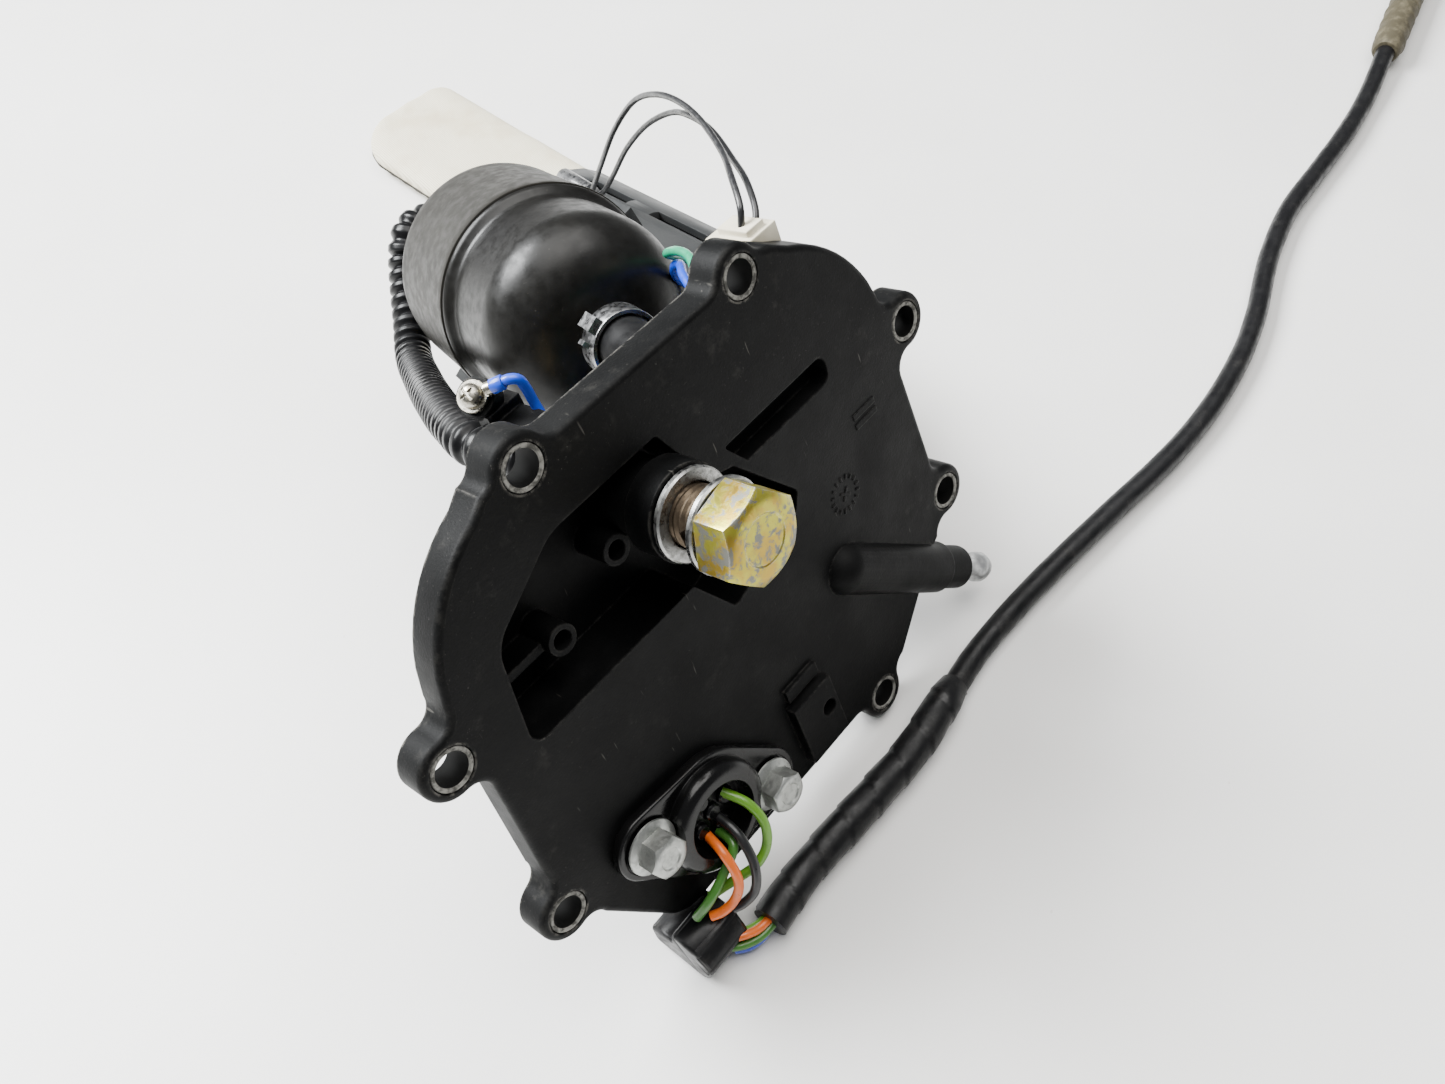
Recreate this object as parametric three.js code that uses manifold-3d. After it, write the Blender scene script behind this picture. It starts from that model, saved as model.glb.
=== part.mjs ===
// Fuel pump module: a flange that closes the side of a tank, and the pump, filter and lines behind it.
// Millimetres. The module lies as it does on a bench: X across the flange, Y back from it, Z up.
import * as THREE from 'three';
import { mergeVertices } from 'three/addons/utils/BufferGeometryUtils.js';
import Module from 'manifold-3d';

const wasm = await Module();
wasm.setup();

// ---------------------------------------------------------------- driving dimensions
const GAP = 0.3; // clearance between touching pieces
const LEAN = THREE.MathUtils.degToRad(20); // the flange leans back from upright

const FLANGE = { thickness: 7, height: 61.7, halfWidth: 60, top: 57 };
const LUG = { radius: 6.2, fillet: 4, hole: 4.5, depth: 14 };
// centre, and how far the body's edge lies beyond it (negative: inside), and the way out
const LUGS = [
  { x: -27.4, z: 56, edge: 1, angle: 90 },
  { x: 27.4, z: 56, edge: 1, angle: 90 },
  { x: 64.5, z: 20.9, edge: -5, angle: 2 },
  { x: 62.9, z: -24.9, edge: -4, angle: -12 },
  { x: 25.8, z: -56.9, edge: -3, angle: -83 },
  { x: -62.9, z: -24.9, edge: -3.5, angle: 195 },
  { x: -64.5, z: 20.9, edge: -4.5, angle: 178 },
];
const SLEEVE = { outer: 4.2, bore: 3.3 };

const BANJO = { x: -7, z: 31, shank: 5.9, bore: 2.6, flats: 17, headBack: -17, headFront: -25.6 };
const COLLAR = { radius: 9.3, root: 7.7, proud: 7, hole: 6.35 };
const WASHER = { inner: 6.2, outer: 8.9, thickness: 1.5 };
const POCKET = { floor: 12.5, wall: 2.4, boss: 3.1, bossHole: 2, bossFace: 4 };

const GLAND = { x: -28.7, z: -34, pitch: 33.5, turn: THREE.MathUtils.degToRad(-27.8), flange: 2.6 };
const GLAND_BARREL = { radius: 12.3, proud: 6.5, mouth: 8.2, mouthDepth: 4.5, plug: 9.2, plugBack: 15 };
const FLANGE_BOLT = { flats: 8, flange: 5.9, flangeThickness: 1.3, head: 4.6, shank: 2.6, length: 15 };

const PORT = { start: [27.7, -17.7], end: [53.5, -41.5], boss: 6.1, tube: 5.2, bore: 2.1, axisY: 1.5 };

const CAN = {
  radius: 26.2, neck: 23.7, wall: 1.2, front: -30.4, back: 35.1, nipple: 4.1, rearNipple: 2.9, reach: 14,
};
const CAN_PLACE = { at: [34.3, 76.1, 34.7], along: [0.269, 0.962, -0.042] };

const PUMP = { casing: 17, casingWall: 1.2, front: -44, back: 36, shaft: 2 };
const HOLDER = { inner: 18.8, outer: 21, front: -50, back: 44 };
const PUMP_PLACE = { at: [80.6, 96.3, 30.3], along: [0.18, 0.958, -0.222] };
const ARM = { from: [44, 5.5, 50], to: [56, 58, 30.5], length: 53 };

const LINE_TUBE = 4.6; // corrugated line, outer radius
const STRAINER = { width: 42, thickness: 9, from: 150, to: 249.5, x: 105.5, skew: 0.06, neckX: 96 };

// ---------------------------------------------------------------- materials
function finish(color, roughness, metalness = 0) {
  return new THREE.MeshStandardMaterial({ color, roughness, metalness });
}
const blackPlastic = finish(0x1d1e20, 0.7);
const glossBlack = finish(0x0d0e10, 0.25);
const rubber = finish(0x141414, 0.8);
const greyPlastic = finish(0x55585b, 0.6);
const canPaint = finish(0x3a3b3a, 0.45, 0.2);
const aluminium = finish(0xc9cbcc, 0.35, 1);
const steel = finish(0x8f9295, 0.35, 1);
const zinc = finish(0xa9aba6, 0.5, 0.9);
const yellowZinc = finish(0xb7a55a, 0.45, 0.9);
const brass = finish(0xb08d4a, 0.35, 1);
const copper = finish(0xa8623a, 0.4, 1);
const paper = finish(0xd8cfa8, 0.9);
const cream = finish(0xe0d9c2, 0.8);
const magnetGrey = finish(0x3b3d40, 0.7, 0.3);
const wireColour = {
  orange: finish(0xd06a20, 0.45),
  green: finish(0x3f7f2c, 0.45),
  light: finish(0x6fa035, 0.45),
  black: finish(0x121212, 0.45),
  blue: finish(0x1b4fc0, 0.45),
  teal: finish(0x1fa37a, 0.45),
};

// ---------------------------------------------------------------- geometry helpers
function toSolid(geometry) {
  const bare = geometry.clone();
  bare.deleteAttribute('normal');
  bare.deleteAttribute('uv');
  const merged = mergeVertices(bare, 1e-3);
  const vertProperties = Float32Array.from(merged.attributes.position.array);
  const triVerts = Uint32Array.from(merged.index.array);
  return new wasm.Manifold(new wasm.Mesh({ numProp: 3, vertProperties, triVerts }));
}

function toGeometry(solid) {
  const mesh = solid.simplify(0.02).getMesh();
  const geometry = new THREE.BufferGeometry();
  geometry.setAttribute('position', new THREE.BufferAttribute(Float32Array.from(mesh.vertProperties), 3));
  geometry.setIndex(new THREE.BufferAttribute(Uint32Array.from(mesh.triVerts), 1));
  geometry.computeVertexNormals();
  return geometry;
}

function join(...geometries) {
  const solids = geometries.map(toSolid);
  return toGeometry(solids.reduce((all, one) => all.add(one)));
}

function cut(geometry, ...tools) {
  return toGeometry(tools.map(toSolid).reduce((body, tool) => body.subtract(tool), toSolid(geometry)));
}

// A closed polygon with each corner [x, y, radius] rounded by a true arc.
function roundedShape(corners) {
  const shape = new THREE.Shape();
  corners.forEach(([x, y, radius], i) => {
    const corner = new THREE.Vector2(x, y);
    const before = new THREE.Vector2(...corners.at(i - 1).slice(0, 2)).sub(corner).normalize();
    const after = new THREE.Vector2(...corners[(i + 1) % corners.length].slice(0, 2)).sub(corner).normalize();
    const half = Math.acos(before.dot(after)) / 2;
    const start = corner.clone().addScaledVector(before, radius / Math.tan(half));
    const end = corner.clone().addScaledVector(after, radius / Math.tan(half));
    const middle = before.clone().add(after).normalize();
    const centre = corner.clone().addScaledVector(middle, radius / Math.sin(half));
    if (i === 0) shape.moveTo(start.x, start.y);
    else shape.lineTo(start.x, start.y);
    const from = Math.atan2(start.y - centre.y, start.x - centre.x);
    const to = Math.atan2(end.y - centre.y, end.x - centre.x);
    shape.absarc(centre.x, centre.y, radius, from, to, before.cross(after) > 0);
  });
  return shape;
}

// An outline drawn in X and Z, given its depth from y = front to y = back.
function slab(shape, front, back, curveSegments = 2) {
  const geometry = new THREE.ExtrudeGeometry(
    shape, { depth: back - front, bevelEnabled: false, curveSegments },
  );
  return geometry.rotateX(Math.PI / 2).translate(0, back, 0);
}

// A round bar along Y from y = front to y = back.
function bar(radius, front, back, x = 0, z = 0, sides = 24) {
  const geometry = new THREE.CylinderGeometry(radius, radius, back - front, sides);
  return geometry.translate(x, (front + back) / 2, z);
}

function hexagon(flats, front, back, x = 0, z = 0) {
  return bar(flats / Math.sqrt(3), front, back, x, z, 6);
}

function block(width, depth, height, x, y, z) {
  return new THREE.BoxGeometry(width, depth, height).translate(x, y, z);
}

// A turned body about Y; the profile is [radius, y] and starts and ends on the axis, or closes on itself.
function turned(profile, segments = 20) {
  const points = profile.map(([radius, y]) => new THREE.Vector2(radius, y));
  if (profile[0][0] > 0 || profile.at(-1)[0] > 0) points.push(points[0].clone());
  const geometry = new THREE.LatheGeometry(points, segments);
  const area = points.reduce((sum, p, i) => sum + p.cross(points[(i + 1) % points.length]), 0);
  if (area < 0) geometry.setIndex(Array.from(geometry.index.array).reverse());
  return geometry;
}

function ring(inner, outer, front, back, segments = 20) {
  return turned([[inner, front], [outer, front], [outer, back], [inner, back]], segments);
}

// Part of a ring about Y, between two angles in degrees measured from X towards Z.
function arcBand(inner, outer, front, back, from, to) {
  const start = THREE.MathUtils.degToRad(from);
  const end = THREE.MathUtils.degToRad(to);
  const shape = new THREE.Shape();
  shape.absarc(0, 0, outer, start, end, false);
  shape.absarc(0, 0, inner, end, start, true);
  return slab(shape, front, back, 8);
}

function sectionOf(radius, sides) {
  const points = [];
  for (let i = 0; i < sides; i += 1) {
    const angle = (2 * Math.PI * i) / sides;
    points.push(new THREE.Vector2(radius * Math.cos(angle), radius * Math.sin(angle)));
  }
  return new THREE.Shape(points);
}

// A round tube that follows a smooth curve through the given points.
function tube(points, radius, sides = 8, steps = 24) {
  const path = new THREE.CatmullRomCurve3(points.map((p) => new THREE.Vector3(...p)), false, 'centripetal');
  return new THREE.ExtrudeGeometry(
    sectionOf(radius, sides), { extrudePath: path, steps, bevelEnabled: false },
  );
}

// A turned or straight body about Y, laid along a line from one point to another.
function layAlong(geometry, from, to) {
  const direction = new THREE.Vector3(...to).sub(new THREE.Vector3(...from)).normalize();
  const turn = new THREE.Quaternion().setFromUnitVectors(new THREE.Vector3(0, 1, 0), direction);
  return geometry.applyQuaternion(turn).translate(...from);
}

function rod(radius, from, to, sides = 16) {
  const length = new THREE.Vector3(...to).distanceTo(new THREE.Vector3(...from));
  return layAlong(bar(radius, 0, length, 0, 0, sides), from, to);
}

function piece(name, geometry, material) {
  const mesh = new THREE.Mesh(geometry, material);
  mesh.name = name;
  return mesh;
}

// A point, or a whole geometry, taken from a group's frame into the level frame.
function pointFrom(group, point) {
  group.updateWorldMatrix(true, false);
  return group.localToWorld(new THREE.Vector3(...point)).toArray();
}

function geometryFrom(group, geometry) {
  group.updateWorldMatrix(true, false);
  return geometry.applyMatrix4(group.matrixWorld);
}

function groupAlong({ at, along }) {
  const group = new THREE.Group();
  group.position.set(...at);
  const direction = new THREE.Vector3(...along).normalize();
  group.quaternion.setFromUnitVectors(new THREE.Vector3(0, 1, 0), direction);
  return group;
}

// ---------------------------------------------------------------- flange
const BODY_OUTLINE = [
  [-FLANGE.halfWidth, FLANGE.top, 33],
  [FLANGE.halfWidth, FLANGE.top, 33],
  [FLANGE.halfWidth, -31, 16],
  [29, -54, 5],
  [-43.5, -54, 9],
  [-FLANGE.halfWidth - 1, -29, 10],
];

const SEAL_OUTLINE = [
  [-56.8, 50.2, 27],
  [56.8, 50.2, 27],
  [56.8, -29.5, 14],
  [27.5, -51, 6],
  [-42, -51, 9],
  [-57.5, -28, 10],
];

// The screw pocket on the left, and the slanting channel in which the pipe's banjo end lies.
const POCKET_OUTLINE = [
  [-2.5, 43, 1.2],
  [-29, 43, 10],
  [-47, 33, 8],
  [-51, 11, 3],
  [-8.4, 11, 1],
  [-1.5, -1, 1.5],
  [20.5, 5.5, 1.5],
  [22.7, 9.1, 1.5],
  [10.5, 25.5, 1],
  [4, 27.5, 1],
  [1.5, 34, 1],
];
const POCKET_BOSSES = [[-17.2, 27.1, 5], [-34.8, 20.8, -16]]; // x, z, and how far the rib runs in x
const SLOT_OUTLINE = [[10, 30.2, 0.4], [40, 30.2, 2.4], [40, 24, 2.4], [14, 24, 0.4]];

// A lug drawn with its way out along +y and the body's edge along y = edge, with a fillet on each side.
function lugOutline(edge) {
  const { radius, fillet, depth } = LUG;
  const rise = fillet + edge;
  const reach = Math.sqrt((radius + fillet) ** 2 - rise ** 2);
  const tangent = Math.atan2(rise, reach);
  const shape = new THREE.Shape();
  shape.moveTo(-reach, edge - depth);
  shape.lineTo(reach, edge - depth);
  shape.lineTo(reach, edge);
  shape.absarc(reach, rise, fillet, -Math.PI / 2, Math.PI + tangent, true);
  shape.absarc(0, 0, radius, tangent, Math.PI - tangent, false);
  shape.absarc(-reach, rise, fillet, -tangent, -Math.PI / 2, true);
  shape.lineTo(-reach, edge - depth);
  return shape;
}

function lugSolid({ x, z, edge, angle }) {
  const geometry = slab(lugOutline(edge), 0, FLANGE.thickness, 2);
  return geometry.rotateY(THREE.MathUtils.degToRad(90 - angle)).translate(x, 0, z);
}

function onPort(distance, y = PORT.axisY) {
  const [x0, z0] = PORT.start;
  const [x1, z1] = PORT.end;
  const length = Math.hypot(x1 - x0, z1 - z0);
  return [x0 + ((x1 - x0) * distance) / length, y, z0 + ((z1 - z0) * distance) / length];
}

function glandPoint(along, across = 0) {
  const { x, z, turn } = GLAND;
  return [
    x + along * Math.cos(turn) - across * Math.sin(turn),
    z + along * Math.sin(turn) + across * Math.cos(turn),
  ];
}

function portSpan() {
  return Math.hypot(PORT.end[0] - PORT.start[0], PORT.end[1] - PORT.start[1]);
}

// A closed band that follows the flange's edge, between two distances inside the seal's outer edge.
function sealRing(outer, inner, front, back) {
  const inset = (by) => SEAL_OUTLINE.map(
    ([x, z, r]) => [x - Math.sign(x) * by, z - Math.sign(z) * by, r - by],
  );
  const band = toSolid(slab(roundedShape(inset(outer)), front, back));
  return toGeometry(band.subtract(toSolid(slab(roundedShape(inset(inner)), front - 1, back + 1))));
}

// Everything that is moulded on before the recesses are cut.
function flangeBlank() {
  const pocketBack = POCKET_OUTLINE.map(([x, z, r]) => [
    x + Math.sign(x + 15) * POCKET.wall,
    z + Math.sign(z - 18) * POCKET.wall,
    r,
  ]);
  return join(
    slab(roundedShape(BODY_OUTLINE), 0, FLANGE.thickness, 4),
    ...LUGS.map(lugSolid),
    slab(roundedShape(pocketBack), FLANGE.thickness - 1, POCKET.floor + POCKET.wall),
    block(12, 3.2, 17, 5, -1.1, -42),
    block(8, 11, 3.4, 42, 12.5, 41.6),
    block(8, 6, 9, 42, 15, 44.3),
    block(8, 26, 3.1, -12, 19, 45.85),
    block(8, 4, 5, -11.4, 31.6, 46.8),
    rod(3.9, [-12.1, 33.9, 50], TERMINAL.from, 16),
    rod(PORT.boss, onPort(0), onPort(portSpan()), 12),
    new THREE.SphereGeometry(PORT.boss, 12, 6).translate(...onPort(0)),
    rod(PORT.tube, onPort(portSpan() - 1), onPort(portSpan() + 9), 14),
  );
}

function flangeCuts() {
  const back = FLANGE.thickness;
  const boltHole = FLANGE_BOLT.shank + GAP;
  return [
    slab(roundedShape(POCKET_OUTLINE), -1, POCKET.floor),
    slab(roundedShape(SLOT_OUTLINE), -1, 4.2),
    bar(GLAND_BARREL.plug + GAP, -1, back + 1, GLAND.x, GLAND.z, 20),
    bar(GLAND_BARREL.plug + 2.6, -1, 1.6, GLAND.x, GLAND.z, 20),
    bar(boltHole, -1, back + 1, ...glandPoint(-GLAND.pitch / 2), 10),
    bar(boltHole, -1, back + 1, ...glandPoint(GLAND.pitch / 2), 10),
    bar(2, -4, 4, 8, -41, 12),
    rod(1.9, [-13, 33.3, 51.2], TERMINAL.to, 12),
    rod(PORT.bore + 1.3, onPort(portSpan() + 2), onPort(portSpan() + 10), 16),
    rod(PORT.bore, onPort(6), onPort(portSpan() + 4), 12),
    bar(PORT.bore, PORT.axisY, back + 1, onPort(7)[0], onPort(7)[2], 12),
    ...CARRIER_SCREWS.map(([x, z]) => bar(2 + GAP, 3.5, back + 1, x, z, 12)),
    sealRing(-0.2, 2.8, back - 1.8, back + 1),
    ...LUGS.map(({ x, z }) => bar(LUG.hole, -1, back + 1, x, z, 14)),
  ];
}

// A tubular screw boss in the pocket, with the rib that ties it to the wall beside it.
function pocketBoss([x, z, reach]) {
  const height = POCKET.floor - POCKET.bossFace - 2;
  const rib = block(Math.abs(reach), height, 1.8, x + reach / 2, POCKET.floor + 0.5 - height / 2, z);
  const post = join(bar(POCKET.boss, POCKET.bossFace, POCKET.floor + 1, x, z, 14), rib);
  return cut(post, bar(POCKET.bossHole, POCKET.bossFace - 1, POCKET.floor - 1, x, z, 10));
}

function flangePlate() {
  const { x, z } = BANJO;
  const collar = join(
    bar(COLLAR.radius, -COLLAR.proud, -1, x, z, 20),
    bar(COLLAR.root, -2, POCKET.floor + POCKET.wall, x, z, 16),
  );
  const whole = join(cut(flangeBlank(), ...flangeCuts()), collar, ...POCKET_BOSSES.map(pocketBoss));
  return cut(whole, bar(COLLAR.hole, -COLLAR.proud - 1, POCKET.floor + 4, x, z, 16));
}

// ---------------------------------------------------------------- pressure outlet
function banjoBolt() {
  const { headBack, headFront, flats, shank, bore } = BANJO;
  const chamfer = turned([
    [0, headFront], [flats / 2 - 0.4, headFront], [flats / 2 + 1.6, headFront + 1.3],
    [flats / 2 + 1.6, headBack], [0, headBack],
  ], 24);
  const head = toGeometry(toSolid(hexagon(flats, headFront, headBack)).intersect(toSolid(chamfer)));
  const body = join(head, bar(shank, headBack - 1, 17, 0, 0, 18));
  const crossHole = bar(1.9, -shank - 2, shank + 2, 0, 0, 12).rotateZ(Math.PI / 2).translate(0, -12, 0);
  return cut(body, bar(bore, -13, 18, 0, 0, 16), crossHole);
}

function outletUnion() {
  const collar = ring(COLLAR.hole - 0.3, 9.4, POCKET.floor + POCKET.wall + GAP, 24, 16);
  const cap = bar(9.4, 22, 28, 0, 0, 16);
  const from = [UNION_BARB.from[0] - BANJO.x, UNION_BARB.from[1], UNION_BARB.from[2] - BANJO.z];
  const to = [UNION_BARB.to[0] - BANJO.x, UNION_BARB.to[1], UNION_BARB.to[2] - BANJO.z];
  return cut(join(collar, cap, rod(2.8, from, to, 10)), bar(COLLAR.hole - 0.3, 14, 22, 0, 0, 16));
}

// ---------------------------------------------------------------- wiring gland
function wiringGland() {
  const half = GLAND.pitch / 2;
  const reach = GLAND_BARREL.radius + 1.5;
  const plate = toGeometry(
    toSolid(bar(7.6, -GLAND.flange - GAP, -GAP, -half, 0, 16))
      .add(toSolid(bar(7.6, -GLAND.flange - GAP, -GAP, half, 0, 16)))
      .add(toSolid(bar(reach, -GLAND.flange - GAP, -GAP, 0, 0, 20)))
      .add(toSolid(block(GLAND.pitch * 0.8, GLAND.flange, 15, 0, -GLAND.flange / 2 - GAP, 0))),
  );
  const { radius, proud, mouth, mouthDepth, plug, plugBack } = GLAND_BARREL;
  const barrel = turned(
    [
      [0, -proud], [mouth, -proud], [radius - 1.2, -proud + 0.8], [radius, -proud + 2.5], [radius, -1],
      [0, -1],
    ],
    20,
  );
  const body = join(plate, barrel, bar(plug, -1, plugBack, 0, 0, 18));
  return cut(
    body,
    bar(mouth, -proud - 1, -proud + mouthDepth, 1.5, 0, 18),
    bar(FLANGE_BOLT.shank + GAP, -6, 2, -half, 0, 10),
    bar(FLANGE_BOLT.shank + GAP, -6, 2, half, 0, 10),
    bar(FLANGE_BOLT.flange + GAP, -8, -GLAND.flange - GAP, -half, 0, 16),
    bar(FLANGE_BOLT.flange + GAP, -8, -GLAND.flange - GAP, half, 0, 16),
  );
}

function flangeBolt() {
  const { flats, flange, flangeThickness, head, shank, length } = FLANGE_BOLT;
  const seat = -GLAND.flange - 2 * GAP;
  const hex = hexagon(flats, seat - flangeThickness - head, seat - flangeThickness + 0.2);
  const washerFace = turned([
    [0, seat], [flange, seat], [flange, seat - 0.7], [
      flange - 1.4, seat - flangeThickness,
    ], [0, seat - flangeThickness],
  ], 16);
  return join(hex, washerFace, bar(shank, seat - 0.5, seat + length, 0, 0, 10));
}

// ---------------------------------------------------------------- filter
function filterDome() {
  const { neck, wall, front, nipple, reach } = CAN;
  const outside = [
    [nipple, front - reach], [nipple, front - 1], [8, front + 0.2], [14.4, front + 1.6], [19.6, front + 4.4],
    [22.6, front + 8.4], [neck, front + 12.6], [neck, -1.6], [CAN.radius - 0.4, 0.6],
  ];
  const inside = [
    [CAN.radius - wall - 0.6, 0.6], [neck - wall, -1.6], [neck - wall, front + 12], [18.6, front + 5.4],
    [12, front + 2.4], [nipple - 1.4, front], [nipple - 1.4, front - reach],
  ];
  return turned([...outside, ...inside], 24);
}

function filterCan() {
  const { radius, wall, back, rearNipple, reach } = CAN;
  const start = 0.6 + GAP;
  return turned([
    [radius, start], [radius, back - 2.5], [radius - 0.8, back - 0.8], [radius - 2.5, back], [8, back],
    [rearNipple, back + 1.2], [rearNipple, back + reach], [rearNipple - 1.2, back + reach],
    [rearNipple - 1.2, back - wall],
    [radius - wall, back - wall], [radius - wall, start],
  ], 24);
}

// Pleated paper between two moulded end discs; the clean side is the bore, open to the rear.
function filterElement() {
  const pleats = 18;
  const outline = [];
  for (let i = 0; i < pleats * 2; i += 1) {
    const angle = (Math.PI * i) / pleats;
    const radius = i % 2 ? 14.5 : 20.6;
    outline.push(new THREE.Vector2(radius * Math.cos(angle), radius * Math.sin(angle)));
  }
  const frontCap = bar(21, -14.6, -13, 0, 0, 18);
  const rearCap = bar(21, 28, 29.6, 0, 0, 18);
  return cut(join(slab(new THREE.Shape(outline), -13.5, 28.5), frontCap, rearCap), bar(9, -12, 31, 0, 0, 16));
}

function earClamp(inner, width, ear) {
  const band = ring(inner, inner + 0.9, -width / 2, width / 2, 16);
  const [x, z] = ear;
  const bump = block(3.4, width - 1, 3.4, x * (inner + 1.6), 0, z * (inner + 1.6));
  return cut(join(band, bump), bar(inner, -width, width, 0, 0, 16));
}

// ---------------------------------------------------------------- pump
// The slotted tube round the pump, in the pump's frame.
function holderTube() {
  const { inner, outer, front, back } = HOLDER;
  const shell = join(ring(inner, outer, front, back, 24), ring(inner - 2.2, outer - 1, back - 1.6, back, 24));
  return cut(
    shell,
    block(9, 14, 12, -2, back + 1, outer),
    block(3.2, 20, 12, 5.5, 22, outer),
    block(3.2, 26, 12, 5.5, -12, outer),
  );
}

// The carrier holds the pump and the filter, and screws to the back of the flange.
function pumpHolder() {
  const { inner } = HOLDER;
  const cradle = geometryFrom(filter, arcBand(CAN.radius + GAP, CAN.radius + 2.6, 4, 24, -150, 15));
  const foot = geometryFrom(flange, block(26, 4, 22, ...CARRIER_FOOT));
  const arm = layAlong(block(12, ARM.length, 6, 0, ARM.length / 2, 0), ARM.from, ARM.to);
  const web = layAlong(
    block(6, 48, 16, 0, 24, 0), pointFrom(filter, [0, 14, 0]), pointFrom(pump, [0, -6, 0]),
  );
  const solid = toSolid(join(geometryFrom(pump, holderTube()), cradle, foot, arm, web));
  const screwHoles = CARRIER_SCREWS.map(([x, z]) => geometryFrom(flange, bar(2.3, 5, 14, x, z, 12)));
  const pumpRoom = geometryFrom(pump, bar(inner, HOLDER.front - 8, HOLDER.back - 3, 0, 0, 24));
  const filterRoom = geometryFrom(filter, bar(CAN.radius + GAP, -6, CAN.back + 6, 0, 0, 24));
  return toGeometry(
    [...screwHoles, pumpRoom, filterRoom].reduce((body, tool) => body.subtract(toSolid(tool)), solid),
  );
}

function carrierScrew() {
  const back = FLANGE.thickness + GAP + 4;
  return turned(
    [[0, 4], [2, 4], [2, back + GAP], [4, back + GAP], [4, back + 1.6], [2.8, back + 2.8], [0, back + 2.8]],
    16,
  );
}

function armature() {
  const slots = 8;
  const core = turned([
    [0, -36], [PUMP.shaft, -36], [PUMP.shaft, -31], [6, -31], [6, -25], [PUMP.shaft, -25],
    [PUMP.shaft, -21], [11, -21], [11, 11], [PUMP.shaft, 11], [PUMP.shaft, 27.6], [0, 27.6],
  ], 16);
  const tools = [];
  for (let i = 0; i < slots; i += 1) {
    tools.push(block(1.6, 34, 4, 0, -5, 10).rotateY((2 * Math.PI * i) / slots));
  }
  return cut(core, ...tools);
}

function impeller() {
  const vanes = 12;
  const disc = ring(PUMP.shaft + GAP, 12.6, 23.4, 26.2, 24);
  const tools = [];
  for (let i = 0; i < vanes; i += 1) {
    tools.push(block(2.4, 4, 3, 0, 25, 12.4).rotateY((2 * Math.PI * i) / vanes));
  }
  return cut(disc, ...tools);
}

function outletCover() {
  const { casing, casingWall, front } = PUMP;
  const radius = casing - casingWall - GAP;
  return turned([
    [PUMP.shaft + GAP, front + 9], [6, front + 9], [6, front + 6], [radius, front + 6], [radius, front],
    [7, front], [5.2, front - 2], [4.1, front - 3], [4.1, front - 16], [3.2, front - 16],
    [3.2, front - 2], [1.8, front + 0.5],
    [1.8, front + 3], [PUMP.shaft + GAP, front + 4],
  ], 16);
}

function pumpChamber() {
  const radius = PUMP.casing - PUMP.casingWall - GAP;
  return turned([
    [PUMP.shaft + GAP, 17], [radius, 17], [radius, 26.4], [13.2, 26.4], [13.2, 23], [PUMP.shaft + GAP, 23],
  ], 20);
}

function inletCover() {
  const radius = PUMP.casing - PUMP.casingWall - GAP;
  return turned(
    [
      [3, 28.4], [3, 44], [5.2, 44], [5.2, 35.5], [radius, 35.5], [radius, 26.8], [13.4, 26.8],
      [13.4, 28.4],
    ],
    20,
  );
}

function magnetShell(side) {
  const full = ring(11.7, 15.5, -23, 13, 20);
  const keep = block(40, 60, 13, 0, -5, side * 9.4);
  return toGeometry(toSolid(full).intersect(toSolid(keep)));
}

function checkValve() {
  const front = PUMP.front;
  return turned([
    [0, front - 2.4], [2.4, front - 2.4], [2.8, front - 3.2], [2.8, front - 4.2], [1.1, front - 4.2],
    [1.1, front - 8], [0, front - 8],
  ], 16);
}

function valveSpring() {
  const turns = 3;
  const points = [];
  for (let i = 0; i <= turns * 8; i += 1) {
    const angle = (2 * Math.PI * i) / 8;
    points.push([2.2 * Math.cos(angle), PUMP.front - 5 - (7.6 * i) / (turns * 8), 2.2 * Math.sin(angle)]);
  }
  return tube(points, 0.35, 4, turns * 8);
}

// ---------------------------------------------------------------- lines, leads and small parts
// A hose of the given wall, pushed over a nipple at each end; both frames' axes run along Y.
function hose(radius, bore, start, middle, end, sides, steps) {
  const at = ({ group }, y) => pointFrom(group, [0, y, 0]);
  const route = [at(start, start.from), at(start, start.to), ...middle, at(end, end.to), at(end, end.from)];
  const tools = [start, end].map((side) => {
    const outwards = Math.sign(side.from - side.to);
    return rod(bore, at(side, side.from + outwards), at(side, side.to), 12);
  });
  return cut(tube(route, radius, sides, steps), ...tools);
}

// Points in the level frame, z = 0 on the bench.
const SUPPLY_BEND = [
  [20.6, 37.5, 86.6], [23, 30.5, 84.5], [31, 26, 78.6], [42, 23.6, 71], [54, 22.6, 61], [64.3, 26.5, 50.7],
];
const LINE_BEND = [
  [48.3, 134.2, 51], [47.8, 141.1, 53], [42.8, 142.9, 55.5], [37.2, 141.6, 55], [32.8, 138.8, 51.5],
  [27.5, 133.5, 48], [21.9, 127.1, 45.5], [14.8, 118.6, 44.6], [6.2, 102.5, 53], [-4.1, 81.3, 67.5],
  [-11.8, 63.4, 79.5],
];
const PUMP_LEADS = {
  teal: [
    [67, 44, 62], [62, 50, 72], [50, 55, 84], [44, 54, 90], [43, 50, 93.5], [41.6, 45.5, 95.5],
    [37, 39.5, 97],
    [30, 33.5, 98], [21, 29, 96.5], [10.4, 28.2, 86], [4, 20.5, 66], [-8, 13.5, 50], [-17, 9, 39],
    [-23, 8, 31],
  ],
  blue: [
    [63, 45, 61], [56, 51.5, 70], [47.4, 55, 80], [45.2, 53.4, 86], [43.5, 50, 89.5], [40, 46, 91.3],
    [35.5, 38.5, 92.3],
    [28, 30.2, 92.6], [19, 25.2, 89.5], [13.4, 25.2, 77], [3, 20, 61], [-8, 12.5, 46], [-16, 7.5, 37],
    [-22, 7.5, 28.5],
  ],
};
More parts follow.
